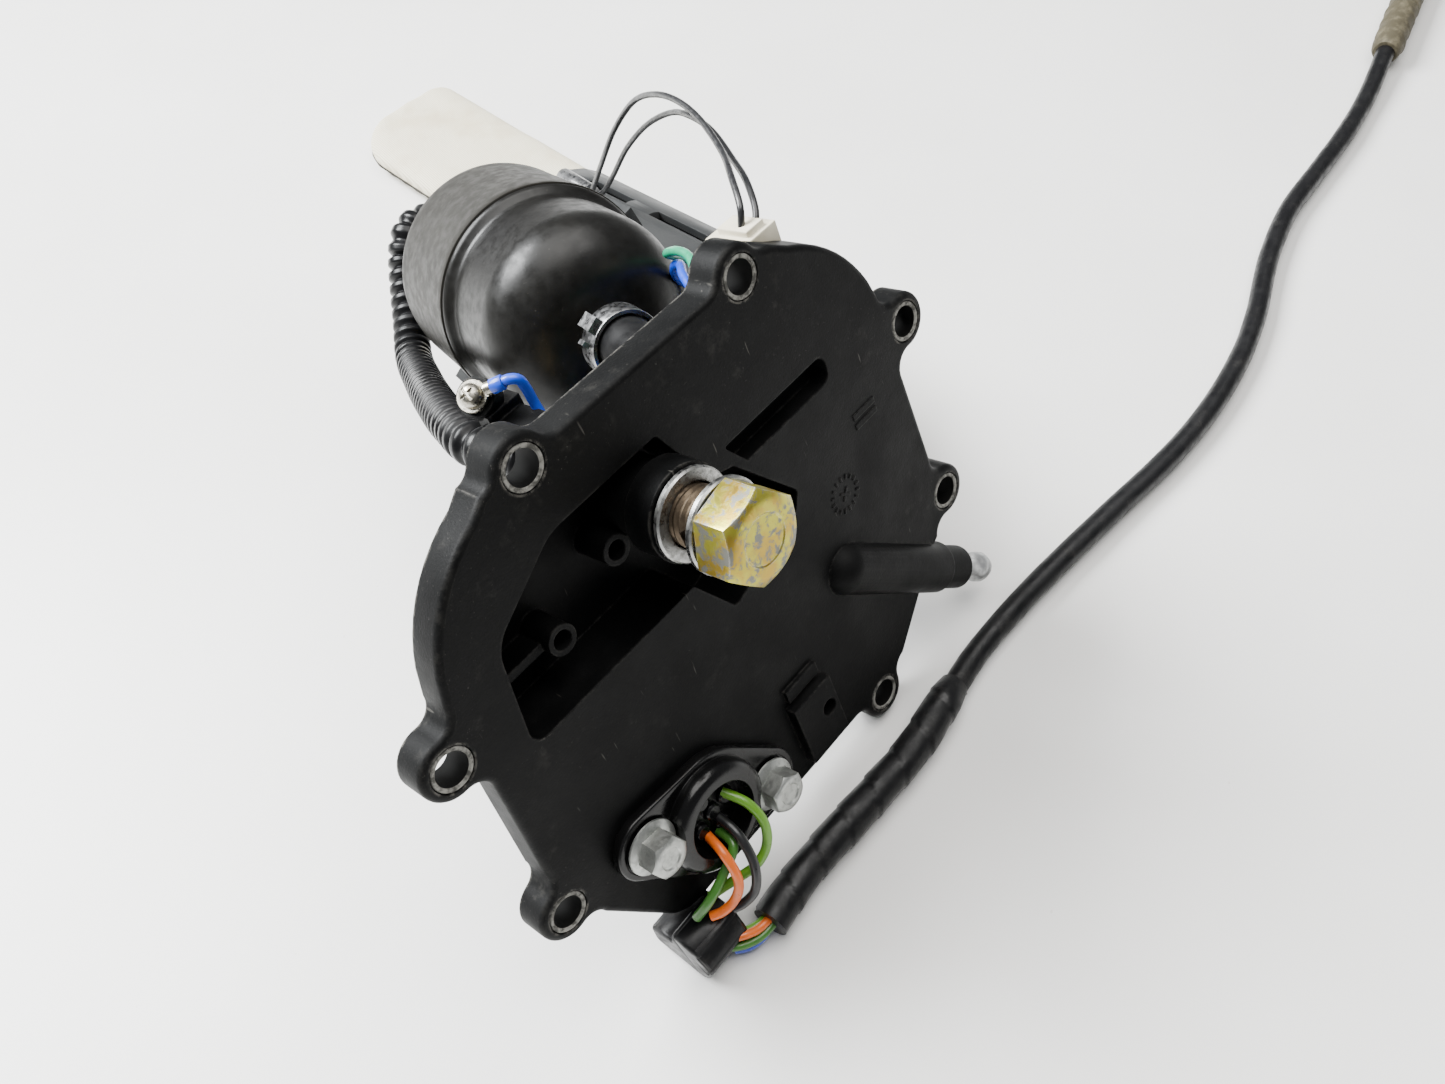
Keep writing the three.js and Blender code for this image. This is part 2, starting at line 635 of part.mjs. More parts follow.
const SENSOR_LEADS = [
  [
    [42.6, 31.6, 113.4], [47.8, 38, 114.4], [55.2, 46.7, 112], [61.8, 58.1, 110.8], [66.2, 68.1, 108.6],
    [69.5, 77.6, 104.6], [72.4, 87.5, 97.5], [74.5, 97.7, 84.6], [76.5, 107.4, 68], [79.5, 116, 54],
    [81.6, 119.2, 50.6],
  ],
  [
    [46.9, 31.5, 109.4], [51.8, 37.4, 110.4], [58.7, 47.2, 108], [65.9, 59.2, 105.6], [70.2, 68.9, 102.4],
    [74, 77.7, 97.4], [76.5, 88.3, 88.6], [78.5, 98.7, 76.3], [80.5, 108, 62], [83, 116, 51.5],
    [83.4, 119.2, 49.2],
  ],
];
const GROUND_LEAD = [
  [-9.8, 42.5, 103.3], [-7.2, 41.2, 104.4], [-5.2, 42, 102.6], [-4.9, 41, 98.4], [-6.3, 36.5, 94.2],
];

// Points in the flange's frame.
const TERMINAL = { from: [-14.3, 32.3, 52.9], to: [-19.8, 28.3, 60.2] };
const UNION_BARB = { from: [-10, 25, 33.5], to: [-15.5, 38, 40] };
const CARRIER_FOOT = [39, FLANGE.thickness + GAP + 2, -2];
const CARRIER_SCREWS = [[31, 3], [47, 3]];

function terminalScrew() {
  const head = turned([[0, -1.6], [1.6, -1.6], [1.6, 1.5], [2.3, 1.5], [2.3, 2.2], [1.7, 3.1], [0, 3.5]], 16);
  return layAlong(head, TERMINAL.from, TERMINAL.to);
}

function ringTerminal() {
  const tongue = block(2.4, 0.9, 1.6, 0, 0.75, 3.4);
  const crimp = bar(1.2, 3.2, 5.8, 0, 0, 10).rotateX(Math.PI / 2).translate(0, 1.7, 0);
  return layAlong(join(ring(1.9, 3.1, GAP, 1.2, 12), tongue, crimp), TERMINAL.from, TERMINAL.to);
}

function sensorPlug() {
  return join(block(9, 11, 6, 42, 13.5, 52.2), block(5, 8, 1.6, 42, 13, 55.8));
}

function levelSensor() {
  const capsule = join(rod(2.6, [82.5, 120, 49.8], [86, 134, 46.6], 14), block(4, 7, 7, 84.2, 127, 45.6));
  return cut(capsule, geometryFrom(pump, bar(HOLDER.outer + GAP, 10, HOLDER.back, 0, 0, 36)));
}

// The neck is pushed over the pump's inlet and turns down into the flat bag.
function strainerNeck() {
  const mouth = geometryFrom(pump, bar(8, 44 + GAP, 51, 0, 0, 20));
  const saddle = block(24, 14, 7, STRAINER.neckX, STRAINER.from + 1, 9);
  return cut(join(mouth, saddle), geometryFrom(pump, bar(5.2 + GAP, 40, 47, 0, 0, 20)));
}

// The five-core harness. Its leads turn through the boot under the flange's edge.
const GLAND_LEADS = {
  orange: [
    [-32, -15.2, 27.3], [-33.2, -20.8, 28.1], [-34.4, -25.4, 23.2], [-36.5, -26, 18.6], [-39.5, -25, 16],
    [-41.5, -23.5, 15],
  ],
  green: [
    [-29.2, -16.1, 25.5], [-30, -20.6, 26.1], [-34.8, -21.9, 22.6], [-40, -22.4, 19.5], [-43.6, -21.4, 15],
  ],
  light: [
    [-24.5, -13.4, 32.4], [-22.8, -19, 31], [-22.8, -23, 27], [-25, -25, 22], [-28.5, -24.8, 18.6],
    [-33.5, -22.6, 16.4], [-38.4, -20.6, 15],
  ],
  black: [
    [-28, -14.8, 28.7], [-28.4, -20.6, 28.4], [-30, -26, 23.6], [-32.6, -28, 18.6], [-35.4, -27.2, 15.8],
    [-37.4, -26, 15],
  ],
};

// A rubber boot wrapped round the turn of the leads; drawn from the side, Y back and Z up.
function leadBoot() {
  const outline = roundedShape(
    [
      [-19.2, 13.8, 1], [-26, 13.4, 2], [-29.4, 8, 2], [-28.4, 1.6, 3], [-13.6, 1.2, 2], [-12.6, 7, 1],
      [-18.6, 9.2, 1],
    ],
  );
  const body = new THREE.ExtrudeGeometry(outline, { depth: 12.5, bevelEnabled: false, curveSegments: 3 });
  return body.rotateY(Math.PI / 2).rotateX(Math.PI / 2).translate(-49.4, 0, 0);
}

const SLEEVE_ROUTE = [
  [-32.4, -31.4, 4.8], [-21, -30.4, 4.8], [-9, -30.7, 4.8], [5, -31.5, 4.8], [19, -32, 4.8],
  [35, -30.6, 4.8],
];
const CABLE_ROUTE = [
  [35.4, -30.6, 3.4], [51, -29.2, 3.4], [70, -29.6, 3.4], [88, -31.2, 3.4], [109, -33.5, 3.4],
  [129, -36, 3.4],
  [149, -37, 3.4], [165, -36.2, 3.4], [181, -34, 3.4], [197, -30, 3.4], [219, -23, 3.4], [242, -18.3, 3.4],
  [264, -17.2, 3.4], [285, -16.4, 3.4], [309, -14, 3.4], [336, -9, 3.4],
];
const SPLICE = { from: [336.4, -8.9, 5.6], to: [392, 1.5, 5.6], radius: 5.3 };
const TAIL_ROUTE = [[392.5, 1.6, 3.4], [410, 5, 3.4], [428, 8.4, 3.4]];

function harnessPlug() {
  const shell = join(block(16, 30, 13, 0, 15, 0), block(13, 8, 10, 0, -3.5, 0));
  return layAlong(cut(shell, block(12, 14, 9, 0, 26, 0)), [436.5, 10, 6.8], [460, 14.5, 6.8]);
}

// A flat sewn bag, thickest along its middle, with rounded corners.
function strainerBag() {
  const { width, thickness, from, to, x, skew } = STRAINER;
  const half = width / 2;
  const outline = roundedShape([[-half, from, 4], [half, from, 4], [half, to, 7], [-half, to, 19]]);
  const sheet = new THREE.ExtrudeGeometry(outline, {
    depth: thickness - 4, bevelEnabled: true, bevelThickness: 2, bevelSize: 3, bevelOffset: -3,
    bevelSegments: 2, curveSegments: 3,
  });
  const bag = sheet.translate(0, -from, 2).rotateZ(-skew).translate(x, from, GAP);
  return cut(bag, block(25, 15.6, 16, STRAINER.neckX, STRAINER.from + 1, 9));
}

// ---------------------------------------------------------------- assembly
const level = new THREE.Group(); // X across, Y back, Z up, z = 0 where it rests
const flange = new THREE.Group();
flange.position.set(0, 0, FLANGE.height);
flange.rotation.x = -LEAN;
level.add(flange);

flange.add(piece('flange_plate', flangePlate(), blackPlastic));
LUGS.forEach(({ x, z }, i) => {
  const sleeve = ring(SLEEVE.bore, SLEEVE.outer, 0, FLANGE.thickness, 14).translate(x, 0, z);
  flange.add(piece(`lug_sleeve_${i + 1}`, sleeve, zinc));
});

flange.add(piece('flange_seal', sealRing(0.2, 2.4, FLANGE.thickness - 1.6, FLANGE.thickness + 0.8), rubber));

const outlet = new THREE.Group();
outlet.position.set(BANJO.x, 0, BANJO.z);
outlet.add(piece('banjo_bolt', banjoBolt(), yellowZinc));
const rearWasher = -COLLAR.proud - GAP;
const frontWasher = BANJO.headBack + GAP;
outlet.add(
  piece(
    'washer_rear', ring(WASHER.inner, WASHER.outer, rearWasher - WASHER.thickness, rearWasher), aluminium,
  ),
);
outlet.add(
  piece(
    'washer_front', ring(WASHER.inner, WASHER.outer, frontWasher, frontWasher + WASHER.thickness),
    aluminium,
  ),
);
outlet.add(piece('outlet_union', outletUnion(), brass));
flange.add(outlet);

const gland = new THREE.Group();
gland.position.set(GLAND.x, 0, GLAND.z);
gland.rotation.y = -GLAND.turn;
gland.add(piece('wiring_gland', wiringGland(), glossBlack));
const sealProfile = [[9.8, 0.2], [11.3, 0.2], [11.3, 1.3], [9.8, 1.3]];
gland.add(piece('gland_seal', turned(sealProfile, 24), rubber));
[-1, 1].forEach((side) => {
  const bolt = piece(side < 0 ? 'gland_bolt_left' : 'gland_bolt_right', flangeBolt(), zinc);
  bolt.position.x = (side * GLAND.pitch) / 2;
  gland.add(bolt);
});
flange.add(gland);

const spigot = turned([
  [0.9, 0], [PORT.bore + 1, 0], [PORT.bore + 1, 10.4], [3.1, 10.6], [3.1, 14], [3.7, 15.5], [3.7, 17.5],
  [3.1, 19.2], [1.6, 19.6], [0.9, 19.6],
], 14);
flange.add(
  piece('return_spigot', layAlong(spigot, onPort(portSpan() + 2.4), onPort(portSpan() + 10)), aluminium),
);

// Filter, with its inlet nipple towards the flange.
const filter = groupAlong(CAN_PLACE);
filter.add(piece('filter_dome', filterDome(), canPaint));
filter.add(piece('filter_can', filterCan(), canPaint));
filter.add(piece('filter_element', filterElement(), paper));
flange.add(filter);

// Pump, with its outlet towards the flange and its inlet at the back.
const pump = groupAlong(PUMP_PLACE);
pump.add(piece('pump_sleeve', ring(PUMP.casing + GAP, HOLDER.inner - 2 * GAP, -40, 34, 20), rubber));
pump.add(
  piece('pump_casing', ring(PUMP.casing - PUMP.casingWall, PUMP.casing, PUMP.front, PUMP.back, 20), steel),
);
pump.add(piece('pump_outlet_cover', outletCover(), blackPlastic));
pump.add(piece('pump_chamber', pumpChamber(), aluminium));
pump.add(piece('pump_inlet_cover', inletCover(), blackPlastic));
pump.add(piece('armature', armature(), copper));
pump.add(piece('impeller', impeller(), blackPlastic));
pump.add(piece('magnet_upper', magnetShell(1), magnetGrey));
pump.add(piece('magnet_lower', magnetShell(-1), magnetGrey));
pump.add(piece('check_valve', checkValve(), brass));
pump.add(piece('valve_spring', valveSpring(), steel));
level.add(pump);

// The carrier, the lines and the leads; these run between the groups, so they are placed in the level frame.
level.add(piece('pump_holder', pumpHolder(), greyPlastic));
CARRIER_SCREWS.forEach(([x, z], i) => {
  flange.add(piece(`carrier_screw_${i + 1}`, carrierScrew().translate(x, 0, z), zinc));
});
const filterInlet = { group: filter, from: CAN.front - 2.5, to: CAN.front - CAN.reach - 1 };
const filterOutlet = { group: filter, from: CAN.back + 2.5, to: CAN.back + CAN.reach + 1 };
const pumpOutlet = { group: pump, from: PUMP.front - 4, to: PUMP.front - 17 };
const barb = groupAlong(
  { at: UNION_BARB.from, along: UNION_BARB.to.map((value, i) => value - UNION_BARB.from[i]) },
);
flange.add(barb);
const unionBarb = { group: barb, from: 6, to: 16 };
level.add(
  piece('supply_hose', hose(6.4, 4.1 + 2 * GAP, filterInlet, SUPPLY_BEND, pumpOutlet, 8, 20), rubber),
);
level.add(
  piece(
    'corrugated_line', hose(LINE_TUBE, CAN.rearNipple + 2 * GAP, filterOutlet, LINE_BEND, unionBarb, 8, 26),
    rubber,
  ),
);
filter.add(
  piece('filter_clamp', earClamp(6.4 + 2 * GAP, 6, [-0.5, 0.87]).translate(0, CAN.front - 7, 0), steel),
);
pump.add(piece('pump_clamp', earClamp(6.4 + 2 * GAP, 6, [0.8, 0.6]).translate(0, PUMP.front - 9, 0), steel));
flange.add(piece('sensor_plug', sensorPlug(), cream));
flange.add(piece('terminal_screw', terminalScrew(), brass));
flange.add(piece('ring_terminal', ringTerminal(), brass));
level.add(piece('ground_lead', tube(GROUND_LEAD, 1, 6, 8), wireColour.blue));
Object.entries(PUMP_LEADS).forEach(([colour, route]) => {
  level.add(piece(`pump_lead_${colour}`, tube(route, 1, 5, 18), wireColour[colour]));
});
SENSOR_LEADS.forEach((route, i) => {
  level.add(piece(`sensor_lead_${i + 1}`, tube(route, 0.7, 5, 16), wireColour.black));
});
level.add(piece('level_sensor', levelSensor(), steel));
level.add(piece('strainer_neck', strainerNeck(), cream));
level.add(piece('strainer_bag', strainerBag(), cream));
// The harness leaves the gland, turns in the boot and lies away along the bench.
Object.entries(GLAND_LEADS).forEach(([colour, route]) => {
  level.add(piece(`gland_lead_${colour}`, tube(route, 1.05, 6, 8), wireColour[colour]));
});
level.add(piece('lead_boot', leadBoot(), rubber));
level.add(piece('harness_sleeve', tube(SLEEVE_ROUTE, 4.4, 8, 6), rubber));
level.add(piece('harness_cable', tube(CABLE_ROUTE, 3, 8, 22), rubber));
level.add(piece('splice_sleeve', rod(SPLICE.radius, SPLICE.from, SPLICE.to, 12), finish(0x4a4632, 0.8)));
level.add(piece('harness_tail', tube(TAIL_ROUTE, 3, 8, 3), rubber));
level.add(piece('harness_plug', harnessPlug(), blackPlastic));

// The origin is under the middle of the module, without the cable that lies away from it.
level.position.set(-30.656, -110.067, -0.055);

export default level;
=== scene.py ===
"""Looks for the in-tank fuel pump module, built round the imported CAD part."""
import math

import bmesh
import bpy
import numpy as np
from mathutils import Matrix, Vector, geometry, noise


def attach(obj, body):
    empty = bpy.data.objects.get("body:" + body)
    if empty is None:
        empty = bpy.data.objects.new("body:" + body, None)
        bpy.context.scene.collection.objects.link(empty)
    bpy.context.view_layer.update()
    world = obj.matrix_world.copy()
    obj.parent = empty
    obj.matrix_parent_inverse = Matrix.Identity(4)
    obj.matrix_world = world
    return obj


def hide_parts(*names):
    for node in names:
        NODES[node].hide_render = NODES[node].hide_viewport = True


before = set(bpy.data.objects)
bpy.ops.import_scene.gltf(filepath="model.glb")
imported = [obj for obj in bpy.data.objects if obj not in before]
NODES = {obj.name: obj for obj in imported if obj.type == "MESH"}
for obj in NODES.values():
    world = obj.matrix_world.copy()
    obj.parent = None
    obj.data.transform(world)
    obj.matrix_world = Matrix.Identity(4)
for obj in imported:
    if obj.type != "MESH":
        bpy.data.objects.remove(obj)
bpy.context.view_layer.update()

# frames, millimetres to metres
ORIGIN = Vector((30.656, 110.067, 0.055))
LEAN = math.radians(20)
LEVEL = Matrix.Scale(0.001, 4) @ Matrix.Translation(-ORIGIN)
FLANGE = LEVEL @ Matrix.Translation((0, 0, 61.7)) @ Matrix.Rotation(-LEAN, 4, "X")
FACING = Vector((0, -math.cos(LEAN), math.sin(LEAN)))


def along(base, at, direction):
    """A frame at a point, with its Y axis along a direction."""
    turn = Vector((0, 1, 0)).rotation_difference(Vector(direction).normalized())
    return base @ Matrix.Translation(at) @ turn.to_matrix().to_4x4()


FILTER = along(FLANGE, (34.3, 76.1, 34.7), (0.269, 0.962, -0.042))
PUMP = along(LEVEL, (80.6, 96.3, 30.3), (0.18, 0.958, -0.222))
GLAND_AT = (-28.7, -34)
GLAND_TURN = math.radians(27.8)
GLAND = FLANGE @ Matrix.Translation((GLAND_AT[0], 0, GLAND_AT[1])) @ Matrix.Rotation(GLAND_TURN, 4, "Y")
COLLAR = (-7, 31)
BANJO = FLANGE @ Matrix.Translation((COLLAR[0], 0, COLLAR[1]))


def to_level(base, point):
    return ORIGIN + (base @ Vector(point)) * 1000


# camera and light
def make_camera():
    data = bpy.data.cameras.new("camera")
    data.sensor_width = 36
    data.lens = 31.27
    camera = bpy.data.objects.new("camera", data)
    bpy.context.scene.collection.objects.link(camera)
    right = Vector((0.6365, -0.7692, -0.0555)).normalized()
    ahead = Vector((0.4236, 0.4088, -0.8083)).normalized()
    up = right.cross(ahead).normalized()
    right = ahead.cross(up)
    turn = Matrix((right, up, -ahead)).transposed().to_4x4()
    camera.matrix_world = Matrix.Translation(LEVEL @ Vector((-99.4, -92.6, 267.1))) @ turn
    data.clip_start = 0.01
    bpy.context.scene.camera = camera


def area_light(name, at, target, size, energy, color):
    """A soft rectangular light; metres and watts."""
    data = bpy.data.lights.new(name, "AREA")
    data.shape = "RECTANGLE"
    data.size, data.size_y = size
    data.energy = energy
    data.color = color
    light = bpy.data.objects.new(name, data)
    bpy.context.scene.collection.objects.link(light)
    light.location = at
    light.rotation_euler = (Vector(target) - Vector(at)).to_track_quat("-Z", "Y").to_euler()


make_camera()
area_light("window", (-0.35, 0.75, 0.95), (0, 0, 0.03), (0.7, 0.6), 80, (0.97, 0.99, 1))
area_light("ceiling", (0.25, -0.1, 1.3), (0, 0, 0), (1.1, 1.1), 27, (1, 0.985, 0.96))
world = bpy.data.worlds.new("studio")
world.use_nodes = True
world.node_tree.nodes["Background"].inputs["Color"].default_value = (0.93, 0.96, 1, 1)
world.node_tree.nodes["Background"].inputs["Strength"].default_value = 0.27
bpy.context.scene.world = world


# materials
class Shader:
    """A material whose nodes are added one by one; lengths are in millimetres."""

    def __init__(self, name, rough=0.5, metal=0.0, **sockets):
        self.material = bpy.data.materials.new(name)
        self.material.use_nodes = True
        self.tree = self.material.node_tree
        self.out = self.tree.nodes["Principled BSDF"]
        self.out.inputs["Roughness"].default_value = rough
        self.out.inputs["Metallic"].default_value = metal
        for socket, value in sockets.items():
            self.out.inputs[socket.replace("_", " ")].default_value = value
        self.place = self.add("ShaderNodeTexCoord").outputs["Object"]

    def add(self, kind, **settings):
        node = self.tree.nodes.new(kind)
        for key, value in settings.items():
            setattr(node, key, value)
        return node

    def link(self, source, target):
        if isinstance(source, bpy.types.NodeSocket):
            self.tree.links.new(source, target)
        else:
            target.default_value = source

    def stretched(self, scale, turn):
        node = self.add("ShaderNodeMapping")
        self.link(self.place, node.inputs["Vector"])
        node.inputs["Scale"].default_value = scale
        node.inputs["Rotation"].default_value = turn
        return node.outputs["Vector"]

    def noise(self, size, detail=3.0, rough=0.55, at=None, distortion=0.0):
        node = self.add("ShaderNodeTexNoise")
        self.link(self.place if at is None else at, node.inputs["Vector"])
        node.inputs["Scale"].default_value = 1000 / size
        node.inputs["Detail"].default_value = detail
        node.inputs["Roughness"].default_value = rough
        node.inputs["Distortion"].default_value = distortion
        return node.outputs["Fac"]

    def wave(self, pitch, at=None, direction="X"):
        node = self.add("ShaderNodeTexWave", bands_direction=direction)
        self.link(self.place if at is None else at, node.inputs["Vector"])
        node.inputs["Scale"].default_value = 314.16 / pitch
        return node.outputs["Fac"]

    def range(self, value, low, high, to_low=0.0, to_high=1.0):
        node = self.add("ShaderNodeMapRange", interpolation_type="SMOOTHSTEP")
        self.link(value, node.inputs["Value"])
        for key, number in zip(("From Min", "From Max", "To Min", "To Max"), (low, high, to_low, to_high)):
            node.inputs[key].default_value = number
        return node.outputs["Result"]

    def math(self, operation, a, b):
        node = self.add("ShaderNodeMath", operation=operation)
        self.link(a, node.inputs[0])
        self.link(b, node.inputs[1])
        return node.outputs[0]

    def mix(self, share, a, b):
        node = self.add("ShaderNodeMix", data_type="RGBA")
        self.link(share, node.inputs["Factor"])
        for value, socket in ((a, node.inputs[6]), (b, node.inputs[7])):
            self.tint(value, socket)
        return node.outputs[2]

    def attribute(self, name):
        return self.add("ShaderNodeAttribute", attribute_name=name).outputs["Fac"]

    def bevelled(self, radius, samples):
        """The surface normal with its sharp edges rounded off."""
        node = self.add("ShaderNodeBevel", samples=samples)
        node.inputs["Radius"].default_value = radius / 1000
        return node.outputs["Normal"]

    def aligned(self, direction, low, high):
        """How well the surface faces a direction: 0 where the cosine is low, 1 where it is high."""
        dot = self.add("ShaderNodeVectorMath", operation="DOT_PRODUCT")
        self.link(direction, dot.inputs[0])
        self.link(self.add("ShaderNodeNewGeometry").outputs["Normal"], dot.inputs[1])
        return self.range(dot.outputs["Value"], low, high)

    def edges(self, radius):
        """1 near an edge, 0 on a flat face."""
        return self.aligned(self.bevelled(radius, 4), 0.999, 0.9)

    def tint(self, value, socket):
        """Links a colour socket, or sets a plain colour."""
        self.link(value if isinstance(value, bpy.types.NodeSocket) else (*value, 1), socket)

    def color(self, value):
        self.tint(value, self.out.inputs["Base Color"])

    def rough(self, value):
        self.link(value, self.out.inputs["Roughness"])

    def bump(self, *layers, edge=0.0):
        """Each layer is a height socket and its depth in millimetres; edge rounds the look of sharp edges."""
        normal = self.bevelled(edge, 6) if edge else None
        for height, depth in layers:
            node = self.add("ShaderNodeBump")
            node.inputs["Strength"].default_value = 1.0
            node.inputs["Distance"].default_value = depth / 1000
            self.link(height, node.inputs["Height"])
            if normal is not None:
                self.link(normal, node.inputs["Normal"])
            normal = node.outputs["Normal"]
        self.link(normal, self.out.inputs["Normal"])


def moulded_plastic(name, dark, light, rough=0.5, dust=(0.2, 0.19, 0.17), wear_and_lit_rim=0.0, grain=0.03, gleam=0.2,
                    edge=0.3):
    s = Shader(name, rough, Specular_IOR_Level=gleam)
    cloud = s.noise(14, 4)
    fine = s.noise(0.45, 2)
    base = s.mix(s.range(cloud, 0.35, 0.7), dark, light)
    if wear_and_lit_rim:
        # Wear and painted highlight: the edge scuffs, dust film and specks all follow the wear attribute,
        # which is raised on the lit upper left rim as well as on the lugs.
        scuff_and_rim_highlight = s.math("MULTIPLY", s.edges(0.9), s.range(s.noise(2.2, 5, 0.7), 0.42, 0.62))
        scuff_and_rim_highlight = s.math("MULTIPLY", scuff_and_rim_highlight, s.attribute("wear_and_lit_rim"))
        base = s.mix(s.math("MULTIPLY", scuff_and_rim_highlight, wear_and_lit_rim), base, dust)
        film = s.math("MULTIPLY", s.range(s.noise(5, 6, 0.65), 0.55, 0.8), s.attribute("wear_and_lit_rim"))
        base = s.mix(s.math("MULTIPLY", film, 0.12), base, dust)
        specks = s.math("MULTIPLY", s.range(s.noise(0.6, 4, 0.65), 0.64, 0.72), s.attribute("wear_and_lit_rim"))
        base = s.mix(s.math("MULTIPLY", specks, 0.2), base, dust)
        scratch = s.noise(1.1, 2, 0.5, at=s.stretched((1, 0.12, 0.12), (0.4, 0.2, 0.8)))
        base = s.mix(s.range(scratch, 0.72, 0.78, 0, 0.22), base, dust)
    s.color(base)
    s.rough(s.range(cloud, 0.3, 0.7, rough - 0.07, rough + 0.09))
    s.bump((fine, grain), (s.noise(3.5, 3), grain * 1.5), edge=edge)
    return s.material


def worn_metal(name, clean, stained, rough, mottle, metal=1.0):
    s = Shader(name, rough, metal)
    blotch = s.noise(mottle, 5, 0.65)
    s.color(s.mix(s.range(blotch, 0.45, 0.75), clean, stained))
    s.rough(s.range(s.noise(mottle * 0.5, 4), 0.35, 0.7, rough - 0.08, rough + 0.14))
    s.bump((s.noise(0.35, 3), 0.002))
    return s.material


def insulation(name, color, rough=0.33):
    s = Shader(name, rough, 0.0, Coat_Weight=0.15)
    dirt = s.range(s.noise(3.2, 4), 0.5, 0.8, 0, 0.45)
    s.color(s.mix(dirt, color, tuple(c * 0.35 + 0.01 for c in color)))
    s.rough(s.range(s.noise(1.4, 3), 0.3, 0.7, rough - 0.06, rough + 0.12))
    s.bump((s.noise(1.1, 2), 0.012))
    return s.material


def soft_rubber(name, color, rough, dust, grain=0.03):
    s = Shader(name, rough, Specular_IOR_Level=0.25)
    dusty = s.range(s.noise(5, 6, 0.7), 0.52, 0.8, 0, dust)
    s.color(s.mix(dusty, color, (0.09, 0.085, 0.076)))
    s.rough(s.range(s.noise(4, 4), 0.3, 0.7, rough - 0.08, rough + 0.15))
    s.bump((s.noise(0.5, 3), grain), (s.noise(6, 3), grain * 4))
    return s.material


def can_paint(name, color, light, rough, gleam):
    s = Shader(name, rough, 0.0, Specular_IOR_Level=gleam, Coat_Weight=gleam * 0.2, Coat_Roughness=0.2)
    cloud = s.noise(11, 5, 0.6)
    tint = s.mix(s.range(cloud, 0.35, 0.7), color, light)
    speck = s.range(s.noise(0.9, 4, 0.7), 0.66, 0.74, 0, 0.3)
    s.color(s.mix(speck, tint, (0.09, 0.085, 0.075)))
    s.rough(s.range(s.noise(2.4, 4), 0.3, 0.7, rough - 0.06, rough + 0.1))
    s.bump((s.noise(0.7, 3), 0.015), (s.noise(9, 3), 0.05))
    return s.material


def sleeve_painted_bore_shade(name):
    """Painted shade: near black everywhere but the front ring, standing in for the shade in the bore; the
    front ring is rubbed bright.
    """
    s = Shader(name, 0.7, 0.0, Specular_IOR_Level=0.06)
    front = s.aligned(FACING, 0.1, 0.8)
    rubbed = s.math("MULTIPLY", front, s.range(s.noise(1.6, 5, 0.65), 0.38, 0.6, 0.25, 1))
    # The near-black colour is painted shade in the bore; the lighter colour is the rubbed front ring.
    s.color(s.mix(rubbed, (0.004, 0.004, 0.0038), (0.24, 0.235, 0.215)))
    s.bump((s.noise(0.35, 3), 0.01))
    return s.material


def yellow_zinc(name):
    s = Shader(name, 0.38, 0.8)
    big = s.noise(2.6, 6, 0.7, distortion=0.6)
    small = s.noise(0.9, 6, 0.75)
    gold = s.mix(s.range(s.noise(4, 4), 0.4, 0.62), (0.42, 0.39, 0.05), (0.4, 0.27, 0.04))
    worn = s.mix(s.range(big, 0.5, 0.57), gold, (0.19, 0.19, 0.165))
    rust = s.mix(s.range(small, 0.62, 0.7), worn, (0.35, 0.15, 0.03))
    s.color(s.mix(s.math("MULTIPLY", s.edges(0.5), s.range(small, 0.4, 0.6)), rust, (0.55, 0.54, 0.5)))
    s.rough(s.range(big, 0.4, 0.65, 0.28, 0.52))
    s.bump((small, 0.02), (s.noise(0.3, 2), 0.004))
    return s.material


def woven_mesh(name, color, stain, pitch=0.62):
    s = Shader(name, 0.75)
    turned = s.stretched((1, 1, 1), (0, 0, 0.17))
    warp = s.wave(pitch, turned, "X")
    weft = s.wave(pitch, turned, "Y")
    thread = s.math("MAXIMUM", warp, weft)
    aged = s.mix(s.range(s.noise(16, 5, 0.6), 0.45, 0.75), color, stain)
    s.color(s.mix(s.range(thread, 0.3, 0.75), tuple(c * 0.8 for c in stain), aged))
    s.rough(s.range(thread, 0.2, 0.8, 0.85, 0.6))
    s.bump((thread, 0.08), (s.noise(7, 3), 0.25))
    return s.material


def wound_tape(name, color, dust):
    s = Shader(name, 0.72)
    weave = s.math("MAXIMUM", s.wave(0.5, direction="X"), s.wave(0.5, direction="Z"))
    s.color(s.mix(s.range(s.noise(4, 6, 0.7), 0.45, 0.7), color, dust))
    s.bump((weave, 0.04), (s.noise(2.5, 4), 0.12))
    return s.material


